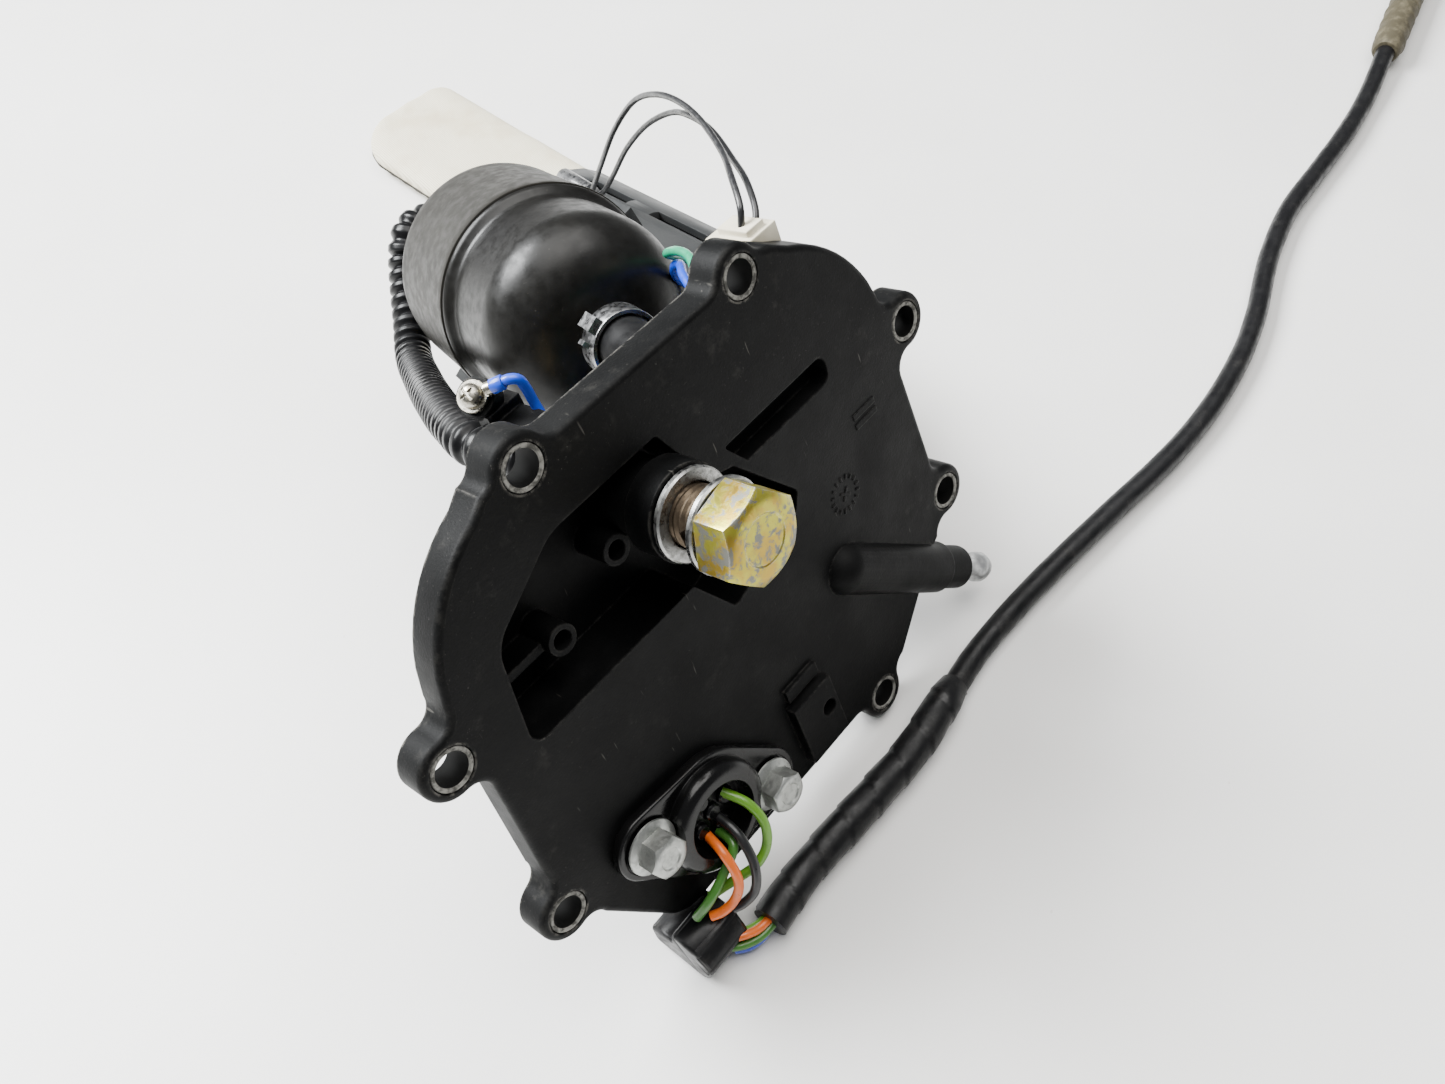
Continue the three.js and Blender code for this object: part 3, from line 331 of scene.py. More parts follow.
BLACK = (0.005, 0.005, 0.0054)
M = {
    "plate": moulded_plastic("plate_plastic", (0.0018, 0.0019, 0.002), (0.0038, 0.0039, 0.004), 0.52,
                             wear_and_lit_rim=0.9, grain=0.045, gleam=0.1, edge=0.4),
    "gloss": moulded_plastic("gland_plastic", (0.0025, 0.0025, 0.0027), (0.005, 0.005, 0.005), 0.2,
                             grain=0.02, gleam=0.3),
    "holder": moulded_plastic("holder_plastic", (0.022, 0.0235, 0.0245), (0.034, 0.035, 0.035), 0.45,
                              grain=0.02, gleam=0.25),
    "cream": moulded_plastic("cream_plastic", (0.6, 0.55, 0.42), (0.72, 0.68, 0.55), 0.42, grain=0.02),
    "black": moulded_plastic("black_plastic", BLACK, (0.009, 0.009, 0.0095), 0.42),
    "line": moulded_plastic("line_plastic", (0.003, 0.003, 0.0033), (0.0055, 0.0055, 0.006), 0.34,
                            grain=0.01, edge=0),
    "rubber": soft_rubber("black_rubber", (0.0045, 0.0045, 0.0048), 0.42, 0.12),
    "boot": soft_rubber("boot_rubber", (0.0045, 0.0045, 0.005), 0.36, 0.2),
    "cable": soft_rubber("cable_jacket", (0.0045, 0.0045, 0.005), 0.38, 0.2, 0.04),
    "dome": can_paint("dome_paint", (0.0045, 0.0043, 0.0039), (0.0075, 0.0072, 0.0064), 0.36, 0.22),
    "can": can_paint("can_paint", (0.0135, 0.0125, 0.0105), (0.0185, 0.0172, 0.0145), 0.5, 0.12),
    "zinc": worn_metal("dull_zinc", (0.42, 0.43, 0.41), (0.24, 0.25, 0.235), 0.42, 2.2, 0.85),
    "sleeve": sleeve_painted_bore_shade("sleeve_steel"),
    "steel": worn_metal("bright_steel", (0.3, 0.3, 0.305), (0.18, 0.18, 0.18), 0.34, 2.5),
    "aluminium": worn_metal("machined_aluminium", (0.38, 0.38, 0.37), (0.2, 0.2, 0.185), 0.34, 1.8),
    "spigot": worn_metal("spigot_aluminium", (0.5, 0.51, 0.51), (0.36, 0.36, 0.36), 0.4, 2.2, 0.8),
    "shank": worn_metal("shank_steel", (0.1, 0.075, 0.05), (0.04, 0.03, 0.022), 0.42, 1.5, 0.85),
    "yellow": yellow_zinc("yellow_zinc"),
    "brass": worn_metal("dull_brass", (0.62, 0.47, 0.22), (0.36, 0.25, 0.12), 0.3, 1.5),
    "nickel": worn_metal("nickel", (0.42, 0.4, 0.34), (0.25, 0.22, 0.17), 0.32, 1.2),
    "copper": worn_metal("copper_windings", (0.65, 0.28, 0.13), (0.3, 0.12, 0.06), 0.35, 1.0),
    "magnet": worn_metal("magnet", (0.06, 0.062, 0.066), (0.035, 0.035, 0.037), 0.6, 3, 0.3),
    "paper": soft_rubber("filter_paper", (0.68, 0.6, 0.38), 0.85, 0.2),
    "mesh": woven_mesh("strainer_mesh", (0.72, 0.68, 0.53), (0.6, 0.53, 0.38)),
    "dark_edge_strip": soft_rubber("strainer_dark_edge_strip", (0.03, 0.027, 0.022), 0.7, 0.4),
    "tape": wound_tape("olive_tape", (0.045, 0.037, 0.018), (0.1, 0.085, 0.05)),
    "orange": insulation("orange_insulation", (0.72, 0.13, 0.008)),
    "green": insulation("green_insulation", (0.045, 0.16, 0.02)),
    "light": insulation("light_green_insulation", (0.12, 0.3, 0.02)),
    "wire_black": insulation("black_insulation", (0.01, 0.01, 0.011)),
    "blue": insulation("blue_insulation", (0.012, 0.06, 0.55)),
    "teal": insulation("teal_insulation", (0.008, 0.28, 0.14)),
}


# mesh helpers
def new_object(name, mesh):
    o = bpy.data.objects.new(name, mesh)
    bpy.context.scene.collection.objects.link(o)
    return o


def mesh_object(name, verts, faces, base=Matrix.Identity(4)):
    mesh = bpy.data.meshes.new(name)
    mesh.from_pydata([base @ Vector(v) for v in verts], [], faces)
    bm = bmesh.new()
    bm.from_mesh(mesh)
    bmesh.ops.recalc_face_normals(bm, faces=bm.faces)
    bm.to_mesh(mesh)
    bm.free()
    return new_object(name, mesh)


def finish_piece(o, node, material, smooth=35):
    """Rides the piece on the module in place of its CAD nodes, with smooth faces between the sharp edges."""
    o.data.shade_smooth()
    o.data.set_sharp_from_angle(angle=math.radians(smooth))
    o.data.materials.clear()
    o.data.materials.append(M[material])
    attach(o, "module")
    if node:
        nodes = [node] if isinstance(node, str) else node
        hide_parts(*nodes)
    return o


def lathe(profile, segments=64):
    """Turned about Y from [radius, y] points, on the axis at both ends or closed on itself."""
    closed = profile[0][0] > 1e-6 and profile[-1][0] > 1e-6
    verts, faces, rows = [], [], []
    for radius, y in profile:
        if radius < 1e-6:
            rows.append([len(verts)] * segments)
            verts.append((0, y, 0))
            continue
        rows.append(list(range(len(verts), len(verts) + segments)))
        for i in range(segments):
            a = 2 * math.pi * i / segments
            verts.append((radius * math.cos(a), y, radius * math.sin(a)))
    pairs = list(zip(rows, rows[1:])) + ([(rows[-1], rows[0])] if closed else [])
    for a, b in pairs:
        for i in range(segments):
            j = (i + 1) % segments
            face = [a[i], a[j], b[j], b[i]]
            unique = [v for k, v in enumerate(face) if v != face[k - 1]]
            if len(unique) > 2:
                faces.append(unique)
    return verts, faces


def rounded(corners, step=7):
    """A polygon [x, z, radius] whose corners are rounded by arcs."""
    out = []
    n = len(corners)
    for i, (x, z, radius) in enumerate(corners):
        corner = Vector((x, z))
        before = (Vector(corners[i - 1][:2]) - corner).normalized()
        after = (Vector(corners[(i + 1) % n][:2]) - corner).normalized()
        half = math.acos(max(-1, min(1, before.dot(after)))) / 2
        start = corner + before * (radius / math.tan(half))
        end = corner + after * (radius / math.tan(half))
        centre = corner + (before + after).normalized() * (radius / math.sin(half))
        a0 = math.atan2(start.y - centre.y, start.x - centre.x)
        a1 = math.atan2(end.y - centre.y, end.x - centre.x)
        sweep = (a1 - a0 + math.pi) % (2 * math.pi) - math.pi
        count = max(2, int(abs(math.degrees(sweep)) / step))
        for k in range(count + 1):
            a = a0 + sweep * k / count
            out.append((centre.x + radius * math.cos(a), centre.y + radius * math.sin(a)))
    return out


def prism(outline, front, back):
    """An outline in X and Z between two depths in Y."""
    n = len(outline)
    verts = [(x, front, z) for x, z in outline] + [(x, back, z) for x, z in outline]
    faces = [list(range(n)), list(range(2 * n - 1, n - 1, -1))]
    faces += [[i, (i + 1) % n, n + (i + 1) % n, n + i] for i in range(n)]
    return verts, faces


def round_bar(radius, front, back, x=0, z=0, sides=48):
    outline = []
    for i in range(sides):
        a = 2 * math.pi * i / sides
        outline.append((x + radius * math.cos(a), z + radius * math.sin(a)))
    return prism(outline, front, back)


def block(width, depth, height, x, y, z):
    w, h = width / 2, height / 2
    outline = [(x - w, z - h), (x + w, z - h), (x + w, z + h), (x - w, z + h)]
    return prism(outline, y - depth / 2, y + depth / 2)


def moved(shape, matrix):
    verts, faces = shape
    return [matrix @ Vector(v) for v in verts], faces


def rod(radius, start, end, sides=40):
    length = (Vector(end) - Vector(start)).length
    turn = Vector((0, 1, 0)).rotation_difference((Vector(end) - Vector(start)).normalized())
    place = Matrix.Translation(start) @ turn.to_matrix().to_4x4()
    return moved(round_bar(radius, 0, length, sides=sides), place)


def combine(o, shapes, operation, base):
    """Adds or takes away solids, one boolean each."""
    for i, shape in enumerate(shapes):
        tool = mesh_object(f"tool_{i}", *shape, base)
        cutter = o.modifiers.new("combine", "BOOLEAN")
        cutter.operation = operation
        cutter.solver = "MANIFOLD"
        cutter.object = tool
        dg = bpy.context.evaluated_depsgraph_get()
        mesh = bpy.data.meshes.new_from_object(o.evaluated_get(dg))
        o.modifiers.clear()
        old, o.data = o.data, mesh
        bpy.data.meshes.remove(old)
        bpy.data.objects.remove(tool)
    return o


def tidy_mesh(o, distance=0.00002, angle=0.6):
    """Welds near vertices, in metres, and merges flat faces."""
    bm = bmesh.new()
    bm.from_mesh(o.data)
    bmesh.ops.remove_doubles(bm, verts=bm.verts, dist=distance)
    bmesh.ops.dissolve_limit(bm, angle_limit=math.radians(angle), verts=bm.verts, edges=bm.edges)
    bm.to_mesh(o.data)
    bm.free()
    return o


def bevel_edges(o, width, segments, angle=30):
    """Rounds the edges sharper than an angle; width in millimetres."""
    bm = bmesh.new()
    bm.from_mesh(o.data)
    picked = [e for e in bm.edges if len(e.link_faces) == 2 and e.calc_face_angle(0) > math.radians(angle)]
    bmesh.ops.bevel(bm, geom=picked, offset=width / 1000, offset_type="OFFSET", segments=segments,
                    profile=0.5, affect="EDGES", clamp_overlap=True, miter_outer="ARC", miter_inner="ARC")
    bm.to_mesh(o.data)
    bm.free()
    return o


def mark_wear_and_lit_rim(o, amount):
    """Stores a per-vertex amount of wear and of painted rim highlight; amount(co) takes the row-frame place
    in metres.
    """
    layer = o.data.attributes.new("wear_and_lit_rim", "FLOAT", "POINT")
    layer.data.foreach_set("value", np.array([amount(v.co) for v in o.data.vertices], np.float32))


def spline(points, step=1.0):
    """Points along a centripetal Catmull-Rom curve, about step apart."""
    p = [Vector(q) for q in points]
    ends = [2 * p[0] - p[1]] + p + [2 * p[-1] - p[-2]]
    dense = []
    for i in range(len(p) - 1):
        a, b, c, d = ends[i:i + 4]
        t0, t1, t2 = ((b - a).length ** 0.5, (c - b).length ** 0.5, (d - c).length ** 0.5)
        m0 = ((b - a) / t0 - (c - a) / (t0 + t1) + (c - b) / t1) * t1
        m1 = ((c - b) / t1 - (d - b) / (t1 + t2) + (d - c) / t2) * t1
        for k in range(24):
            t = k / 24
            dense.append(b + m0 * t + (3 * (c - b) - 2 * m0 - m1) * t * t + (2 * (b - c) + m0 + m1) * t ** 3)
    dense.append(p[-1])
    lengths = np.cumsum([0] + [(b - a).length for a, b in zip(dense, dense[1:])])
    count = max(2, int(round(lengths[-1] / step)))
    out = []
    for s in np.linspace(0, lengths[-1], count + 1):
        i = min(len(dense) - 2, max(0, int(np.searchsorted(lengths, s)) - 1))
        share = (s - lengths[i]) / max(1e-9, lengths[i + 1] - lengths[i])
        out.append(dense[i].lerp(dense[i + 1], min(1, max(0, share))))
    return out


BORE_DEPTH = 11.5


def tube(points, radius, sides=16, step=1.0, bore=0.0):
    """A round tube along a curve. radius is a number, or a function of distance along and angle round."""
    path = spline(points, step)
    size = radius if callable(radius) else (lambda s, a: radius)
    normal = None
    verts, faces = [], []
    travelled = 0.0
    rows = []
    for i, point in enumerate(path):
        ahead = (path[min(i + 1, len(path) - 1)] - path[max(i - 1, 0)]).normalized()
        if normal is None:
            normal = ahead.orthogonal().normalized()
        normal = (normal - ahead * normal.dot(ahead)).normalized()
        side = ahead.cross(normal)
        if i:
            travelled += (point - path[i - 1]).length
        rows.append(len(verts))
        for k in range(sides):
            a = 2 * math.pi * k / sides
            r = size(travelled, a)
            verts.append(point + (normal * math.cos(a) + side * math.sin(a)) * r)
    for a, b in zip(rows, rows[1:]):
        faces += [[a + k, a + (k + 1) % sides, b + (k + 1) % sides, b + k] for k in range(sides)]
    for row, inwards in ((rows[0], 1), (rows[-1], -1)):
        loop = [row + k for k in range(sides)]
        if bore:
            centre = sum((verts[v] for v in loop), Vector()) / sides
            ahead = (path[1] - path[0] if inwards > 0 else path[-1] - path[-2]).normalized() * inwards
            mouth = [centre + (verts[v] - centre) * bore for v in loop]
            for ring in (mouth, [v + ahead * BORE_DEPTH for v in mouth]):
                inner = list(range(len(verts), len(verts) + sides))
                verts += ring
                faces += [[loop[k - 1], loop[k], inner[k], inner[k - 1]] for k in range(sides)]
                loop = inner
        faces.append(loop)
    return verts, faces


def level_tube(name, points, radius, material, node=None, sides=14, step=1.0, **more):
    o = mesh_object(name, *tube(points, radius, sides, step, **more), LEVEL)
    return finish_piece(o, node, material, smooth=50)


def turned_piece(name, profile, base, material, node, segments=64, smooth=35):
    return finish_piece(mesh_object(name, *lathe(profile, segments), base), node, material, smooth)


# flange plate, in the flange's frame
THICK = 7
LUGS = [
    (-27.4, 56, 1, 90), (27.4, 56, 1, 90), (64.5, 20.9, -5, 2), (62.9, -24.9, -4, -12),
    (25.8, -56.9, -3, -83), (-62.9, -24.9, -3.5, 195), (-64.5, 20.9, -4.5, 178),
]
BODY = [(-60, 57, 33), (60, 57, 33), (60, -31, 16), (29, -54, 5), (-43.5, -54, 9), (-61, -29, 10)]
POCKET = [
    (-2.5, 43, 1.2), (-29, 43, 10), (-47, 33, 8), (-51, 11, 3), (-8.4, 11, 1), (-1.5, -1, 1.5),
    (20.5, 5.5, 1.5), (22.7, 9.1, 1.5), (10.5, 25.5, 1), (4, 27.5, 1), (1.5, 34, 1),
]
SLOT = [(10, 30.2, 0.4), (40, 30.2, 2.4), (40, 24, 2.4), (14, 24, 0.4)]
BOSSES = [(-17.2, 27.1, 5), (-34.8, 20.8, -16)]
PORT = ((27.7, -17.7), (53.5, -41.5))
RIM_RADIUS = 1.3
WALL = 2.4
GLAND_SCREW = 16.75


def lug_outline(edge, radius=6.2, fillet=4):
    """A lug about its hole, with its fillets, standing on a side at height edge."""
    rise = fillet + edge
    reach = math.sqrt((radius + fillet) ** 2 - rise ** 2)
    tangent = math.atan2(rise, reach)
    out = []

    def arc(cx, cy, r, a0, a1):
        count = max(3, int(abs(math.degrees(a1 - a0)) / 8))
        for k in range(count + 1):
            a = a0 + (a1 - a0) * k / count
            out.append((cx + r * math.cos(a), cy + r * math.sin(a)))

    arc(reach, rise, fillet, -math.pi / 2, -math.pi + tangent)
    arc(0, 0, radius, tangent, math.pi - tangent)
    arc(-reach, rise, fillet, -tangent, -math.pi / 2)
    return [p for i, p in enumerate(out) if math.dist(p, out[i - 1]) > 1e-3]


def on_port(distance, y=1.5):
    (x0, z0), (x1, z1) = PORT
    length = math.hypot(x1 - x0, z1 - z0)
    return (x0 + (x1 - x0) * distance / length, y, z0 + (z1 - z0) * distance / length)


PORT_SPAN = math.dist(*PORT)


def gland_point(distance):
    x, z = GLAND_AT
    return x + distance * math.cos(GLAND_TURN), z - distance * math.sin(GLAND_TURN)


def outset(corners, distance):
    """A polygon of corners [x, z, radius] with every side moved out by a distance."""
    n = len(corners)
    ring = corners + corners[:1]
    turn = math.copysign(1, sum(a[0] * b[1] - b[0] * a[1] for a, b in zip(ring, ring[1:])))
    out = []
    for i, (x, z, radius) in enumerate(corners):
        before, here, after = (Vector(corners[k % n][:2]) for k in (i - 1, i, i + 1))
        a, b = (here - before).normalized(), (after - here).normalized()
        shift = Vector((a.y + b.y, -a.x - b.x)) * turn * distance / (1 + a.dot(b))
        out.append((x + shift.x, z + shift.y, radius))
    return out


def plate_outline():
    """The body's outline with the lugs' outlines let into it, anticlockwise in X and Z."""
    body = rounded(BODY, 5)
    if sum(a[0] * b[1] - b[0] * a[1] for a, b in zip(body, body[1:] + body[:1])) < 0:
        body.reverse()
    runs = [(math.atan2(z, x), [(x, z)]) for x, z in body]
    whole = 2 * math.pi
    for x, z, edge, angle in LUGS:
        turn = Matrix.Translation((x, 0, z)) @ Matrix.Rotation(math.radians(90 - angle), 4, "Y")
        lug = [turn @ Vector((u, 0, w)) for u, w in lug_outline(edge)]
        first, last = (math.atan2(p.z, p.x) for p in (lug[0], lug[-1]))
        feet = [(p.x, p.z) for p in (lug[0], lug[-1])]
        clear = [run for run in runs if (run[0] - first) % whole > (last - first) % whole]
        runs = [run for run in clear if len(run[1]) > 1 or all(math.dist(run[1][0], f) > 3.5 for f in feet)]
        runs.append((first, [(p.x, p.z) for p in lug]))
    return [point for _, run in sorted(runs) for point in run]


def rounded_slab(outline, front, back, radius, steps=5):
    """A prism whose front edge is rounded."""
    n = len(outline)
    inwards = []
    for i in range(n):
        before, here, after = (Vector(outline[k % n]) for k in (i - 1, i, i + 1))
        run = ((here - before).normalized() + (after - here).normalized()).normalized()
        inwards.append((-run.y, run.x))
    verts = []
    for k in range(steps + 1):
        a = math.pi / 2 * k / steps
        inset, depth = radius * (1 - math.sin(a)), front + radius * (1 - math.cos(a))
        verts += [(x + nx * inset, depth, z + nz * inset) for (x, z), (nx, nz) in zip(outline, inwards)]
    verts += [(x, back, z) for x, z in outline]
    rows = steps + 2
    faces = [list(range(n)), [(rows - 1) * n + k for k in range(n)]]
    for r in range(rows - 1):
        for k in range(n):
            a, b = r * n + k, r * n + (k + 1) % n
            faces.append([a, b, b + n, a + n])
    return verts, faces


def make_plate():
    plate = mesh_object("flange_plate_moulded", *rounded_slab(plate_outline(), 0, THICK, RIM_RADIUS), FLANGE)
    turns = [math.pi * k / 24 for k in range(25)]
    ball = lathe([(6.1 * math.sin(a), -6.1 * math.cos(a)) for a in turns], 48)
    combine(plate, [
        prism(rounded(outset(POCKET, WALL)), 6, 14.9),
        block(12, 3.2, 17, 5, -1.1, -42),
        block(8, 11, 3.4, 42, 12.5, 41.6), block(8, 6, 9, 42, 15, 44.3),
        block(8, 26, 3.1, -12, 19, 45.85), block(8, 4, 5, -11.4, 31.6, 46.8),
        rod(3.9, (-12.1, 33.9, 50), TERMINAL[0]),
        rod(6.1, on_port(0), on_port(PORT_SPAN)),
        moved(ball, Matrix.Translation(on_port(0))),
        rod(5.2, on_port(PORT_SPAN - 1), on_port(PORT_SPAN + 9)),
    ], "UNION", FLANGE)
    sleeves = [round_bar(4.4, -1, THICK + 1, x, z) for x, z, _, _ in LUGS]
    combine(plate, [
        prism(rounded(POCKET), -3, 12.5), prism(rounded(SLOT), -3, 4.2),
        round_bar(9.5, -1, 8, *GLAND_AT), round_bar(11.8, -3, 1.6, *GLAND_AT),
        round_bar(2.9, -1, 8, *gland_point(-GLAND_SCREW)), round_bar(2.9, -1, 8, *gland_point(GLAND_SCREW)),
        round_bar(2, -5, 4, 8, -41),
        rod(1.9, (-13, 33.3, 51.2), TERMINAL[1], 24),
        rod(3.4, on_port(PORT_SPAN + 2), on_port(PORT_SPAN + 10)),
        *sleeves,
    ], "DIFFERENCE", FLANGE)
    bosses = []
    for x, z, reach in BOSSES:
        bosses.append(block(abs(reach), 6.5, 1.8, x + reach / 2, 9.75, z))
        bosses.append(round_bar(3.1, 4, 13.5, x, z))
    combine(plate, [round_bar(9.3, -7, -0.5, *COLLAR, 64), round_bar(7.7, -2, 14.9, *COLLAR, 64), *bosses],
            "UNION", FLANGE)
    holes = [round_bar(2, 3, 11.5, x, z) for x, z, _ in BOSSES]
    combine(plate, [round_bar(6.35, -9, 17, *COLLAR), *holes], "DIFFERENCE", FLANGE)
    combine(plate, date_wheel() + raised_marks(), "UNION", FLANGE)
    mark_wear_and_lit_rim(plate, plate_wear_and_lit_rim)
    finish_piece(plate, "flange_plate", "plate", smooth=30)
    for face in plate.data.polygons:
        if abs(face.normal.dot(FACING)) > 0.999:
            face.use_smooth = False


def plate_wear_and_lit_rim(co):
    """More rubbed on the lugs; raised along the upper left edge, where it is partly wear and partly painted
    highlight on the lit rim.
    """
    p = FLANGE.inverted() @ co
    worn = 0.12
    for x, z, _, _ in LUGS:
        worn = max(worn, 1.0 - max(0.0, math.hypot(p.x - x, p.z - z) - 6.5) / 5)
    rim = math.hypot(p.x + 10, p.z - 4)
    # Painted highlight: the upper left rim faces the light, and it gets lighter scuffs and dust as well as
    # its wear.
    if p.x < 5 and p.z > -25:
        worn = max(worn, min(0.9, max(0.0, (rim - 48) / 8)))
    if p.y < -6:
        worn = max(worn, 0.3)
    return worn * (0.75 + 0.5 * noise.noise(p * 0.11))


def date_wheel():
    """A small plain moulder's dial: a ring of even ticks round a cross."""
    centre = Matrix.Translation((34, 0.02, -1.5))
    shapes = []
    for k in range(16):
        a = 2 * math.pi * k / 16
        tick = block(1.1, 0.45, 0.5, 3.9, 0, 0)
        shapes.append(moved(tick, centre @ Matrix.Rotation(a, 4, "Y")))
    for a in (0.6, 2.17):
        bar = block(3.2, 0.4, 0.55, 0, 0, 0)
        shapes.append(moved(bar, centre @ Matrix.Rotation(a, 4, "Y")))
    return shapes


def raised_marks():
    """Plain moulded pads without any marks."""
    pads = [block(7, 0.5, 1.4, 46, 0.05, 12), block(7, 0.5, 1.4, 46, 0.05, 9.6)]
    return [block(10, 1.4, 3.2, 5, -0.4, -30.5)] + pads


TERMINAL = ((-14.3, 32.3, 52.9), (-19.8, 28.3, 60.2))
make_plate()

for i, (x, z, _, _) in enumerate(LUGS, 1):
    ring = [(3.3, 0.25), (3.55, 0.0), (4.05, 0.0), (4.2, 0.2), (4.2, 6.8), (3.4, 6.8), (3.3, 6.6)]
    at = FLANGE @ Matrix.Translation((x, 0, z))
    turned_piece(f"sleeve_{i}", ring, at, "sleeve", f"lug_sleeve_{i}", 48)


# pressure outlet
def hex_outline(flats, turn=0.0):
    r = flats / math.sqrt(3)
    return [(r * math.cos(turn + math.pi * k / 3), r * math.sin(turn + math.pi * k / 3)) for k in range(6)]


def make_banjo_bolt():
    head = mesh_object("banjo_bolt_head", *prism(hex_outline(16.2, 0.2), -25.4, -17), BANJO)
    dome = lathe([(0, -25.4), (6.9, -25.4), (7.9, -25.1), (9.7, -23.9), (9.7, -17.35), (8.9, -17), (0, -17)],
                 96)
    combine(head, [dome], "INTERSECT", BANJO)
    bevel_edges(head, 0.25, 2, 35)
    ring = lathe([(0, -26), (4.6, -26), (4.9, -25.4), (4.6, -25.2), (0, -25.2)], 64)
    combine(head, [ring], "DIFFERENCE", BANJO)
    finish_piece(head, None, "yellow", smooth=30)
    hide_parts("banjo_bolt")
    shank = [(0, -18), (5.2, -18), (5.2, -16.2), (5.9, -15.6)]
    y = -15.2
    while y < 15.4:
        shank += [(5.9, y), (5.35, y + 0.5), (5.35, y + 0.7), (5.9, y + 1.2)]
        y += 1.5
    shank += [(5.2, 17), (2.6, 17), (2.6, -13), (0, -13)]
    o = mesh_object("banjo_bolt_shank", *lathe(shank, 48), BANJO)
    across = rod(1.9, (9, -12, 0), (-9, -12, 0), 48)
    combine(o, [across], "DIFFERENCE", BANJO)
    finish_piece(o, None, "shank", smooth=40)


def washer_profile(y):
    inner, outer = 6.2, 8.9
    return [(inner, y + 0.2), (inner + 0.3, y), (outer - 0.35, y), (outer, y + 0.35), (outer, y + 1.15),
            (outer - 0.35, y + 1.5), (inner + 0.3, y + 1.5), (inner, y + 1.3)]


make_banjo_bolt()
turned_piece("washer_rear_turned", washer_profile(-8.8), BANJO, "aluminium", "washer_rear")
turned_piece("washer_front_turned", washer_profile(-16.7), BANJO, "aluminium", "washer_front")


# wiring gland
def make_gland():
    body = mesh_object("gland_flange", *prism(hull_outline(), -2.9, -0.3), GLAND)
    tidy_mesh(body)
    bevel_edges(body, 0.5, 3, 40)
    barrel = lathe([(0, -6.5), (9.6, -6.5), (11.0, -6.3), (11.9, -5.6), (12.3, -4.4), (12.3, -1.2),
                    (0, -1.2)], 96)
    plug = round_bar(9.2, -1.3, 15, sides=64)
    combine(body, [barrel, plug], "UNION", GLAND)
    cuts = [lathe([(0, -8), (8.9, -8), (8.4, -6.3), (8.2, -5.6), (8.2, -2), (0, -2)], 64)]
    for side in (-GLAND_SCREW, GLAND_SCREW):
        cuts.append(round_bar(2.9, -8, 1, side, 0))
        cuts.append(round_bar(6.2, -9, -2.6, side, 0))
    combine(body, cuts, "DIFFERENCE", GLAND)
    stubs = []
    for x, z in ((-3.2, 3.4), (3.6, 2.6), (-2.6, -3.6), (3.1, -3.4), (0.2, 0.1)):
        stubs.append(lathe_at([(0, -3.4), (1.5, -3.4), (1.9, -3.0), (2.0, -1.6), (0, -1.6)], x, z))
    combine(body, stubs, "UNION", GLAND)
    tidy_mesh(body)
    finish_piece(body, "wiring_gland", "gloss", smooth=35)


def lathe_at(profile, x, z, segments=32):
    return moved(lathe(profile, segments), Matrix.Translation((x, 0, z)))


def hull_outline():
    """Two screw ears joined to the round middle by straight tangents."""
    points = []
    for cx, r in ((-GLAND_SCREW, 7.6), (0, 13.8), (GLAND_SCREW, 7.6)):
        for k in range(96):
            a = 2 * math.pi * k / 96
            points.append((cx + r * math.cos(a), r * math.sin(a)))
    points = sorted(set((round(x, 5), round(y, 5)) for x, y in points))

    def half(sequence):
        chain = []
        for p in sequence:
            while len(chain) > 1:
                (ax, ay), (bx, by) = chain[-2:]
                if (bx - ax) * (p[1] - ay) - (by - ay) * (p[0] - ax) > 0:
                    break
                chain.pop()
            chain.append(p)
        return chain[:-1]

    return half(points) + half(points[::-1])


def make_flange_bolt(name, node, x):
    at = GLAND @ Matrix.Translation((x, 0, 0))
    seat = -3.2
    head = mesh_object(name, *prism(hex_outline(8, 0.35 if x < 0 else 0.9), seat - 5.9, seat - 1.0), at)
    crown = lathe([(0, seat - 5.9), (3.3, seat - 5.9), (3.9, seat - 5.7), (4.7, seat - 5.1), (4.7, seat - 1),
                   (0, seat - 1)], 64)
    combine(head, [crown], "INTERSECT", at)
    bevel_edges(head, 0.2, 2, 35)
    dish = lathe([(0, seat - 7), (2.3, seat - 7), (2.5, seat - 5.9), (2.2, seat - 5.6), (0, seat - 5.55)], 48)
    combine(head, [dish], "DIFFERENCE", at)
    flare = [(0, seat), (5.5, seat), (5.9, seat - 0.3), (5.85, seat - 0.7), (5.3, seat - 1.0),
             (4.3, seat - 1.45), (0, seat - 1.5)]
    combine(head, [lathe(flare, 64), round_bar(2.6, seat - 0.6, seat + 14.6)], "UNION", at)
    finish_piece(head, node, "zinc", smooth=30)


make_gland()
make_flange_bolt("gland_bolt_left_zinc", "gland_bolt_left", -GLAND_SCREW)
make_flange_bolt("gland_bolt_right_zinc", "gland_bolt_right", GLAND_SCREW)

spigot = [
    (0.9, 0), (3.05, 0), (3.1, 10.3), (3.0, 10.6), (3.0, 13.9), (3.35, 14.6), (3.65, 15.4), (3.7, 17.2),
    (3.4, 18.0), (3.05, 18.6), (2.9, 19.2), (2.4, 19.55), (1.3, 19.6), (0.9, 19.3),
]
start, end = Vector(on_port(PORT_SPAN + 2.4)), Vector(on_port(PORT_SPAN + 10))
turned_piece("return_spigot_turned", spigot, along(FLANGE, start, end - start), "spigot", "return_spigot", 48)


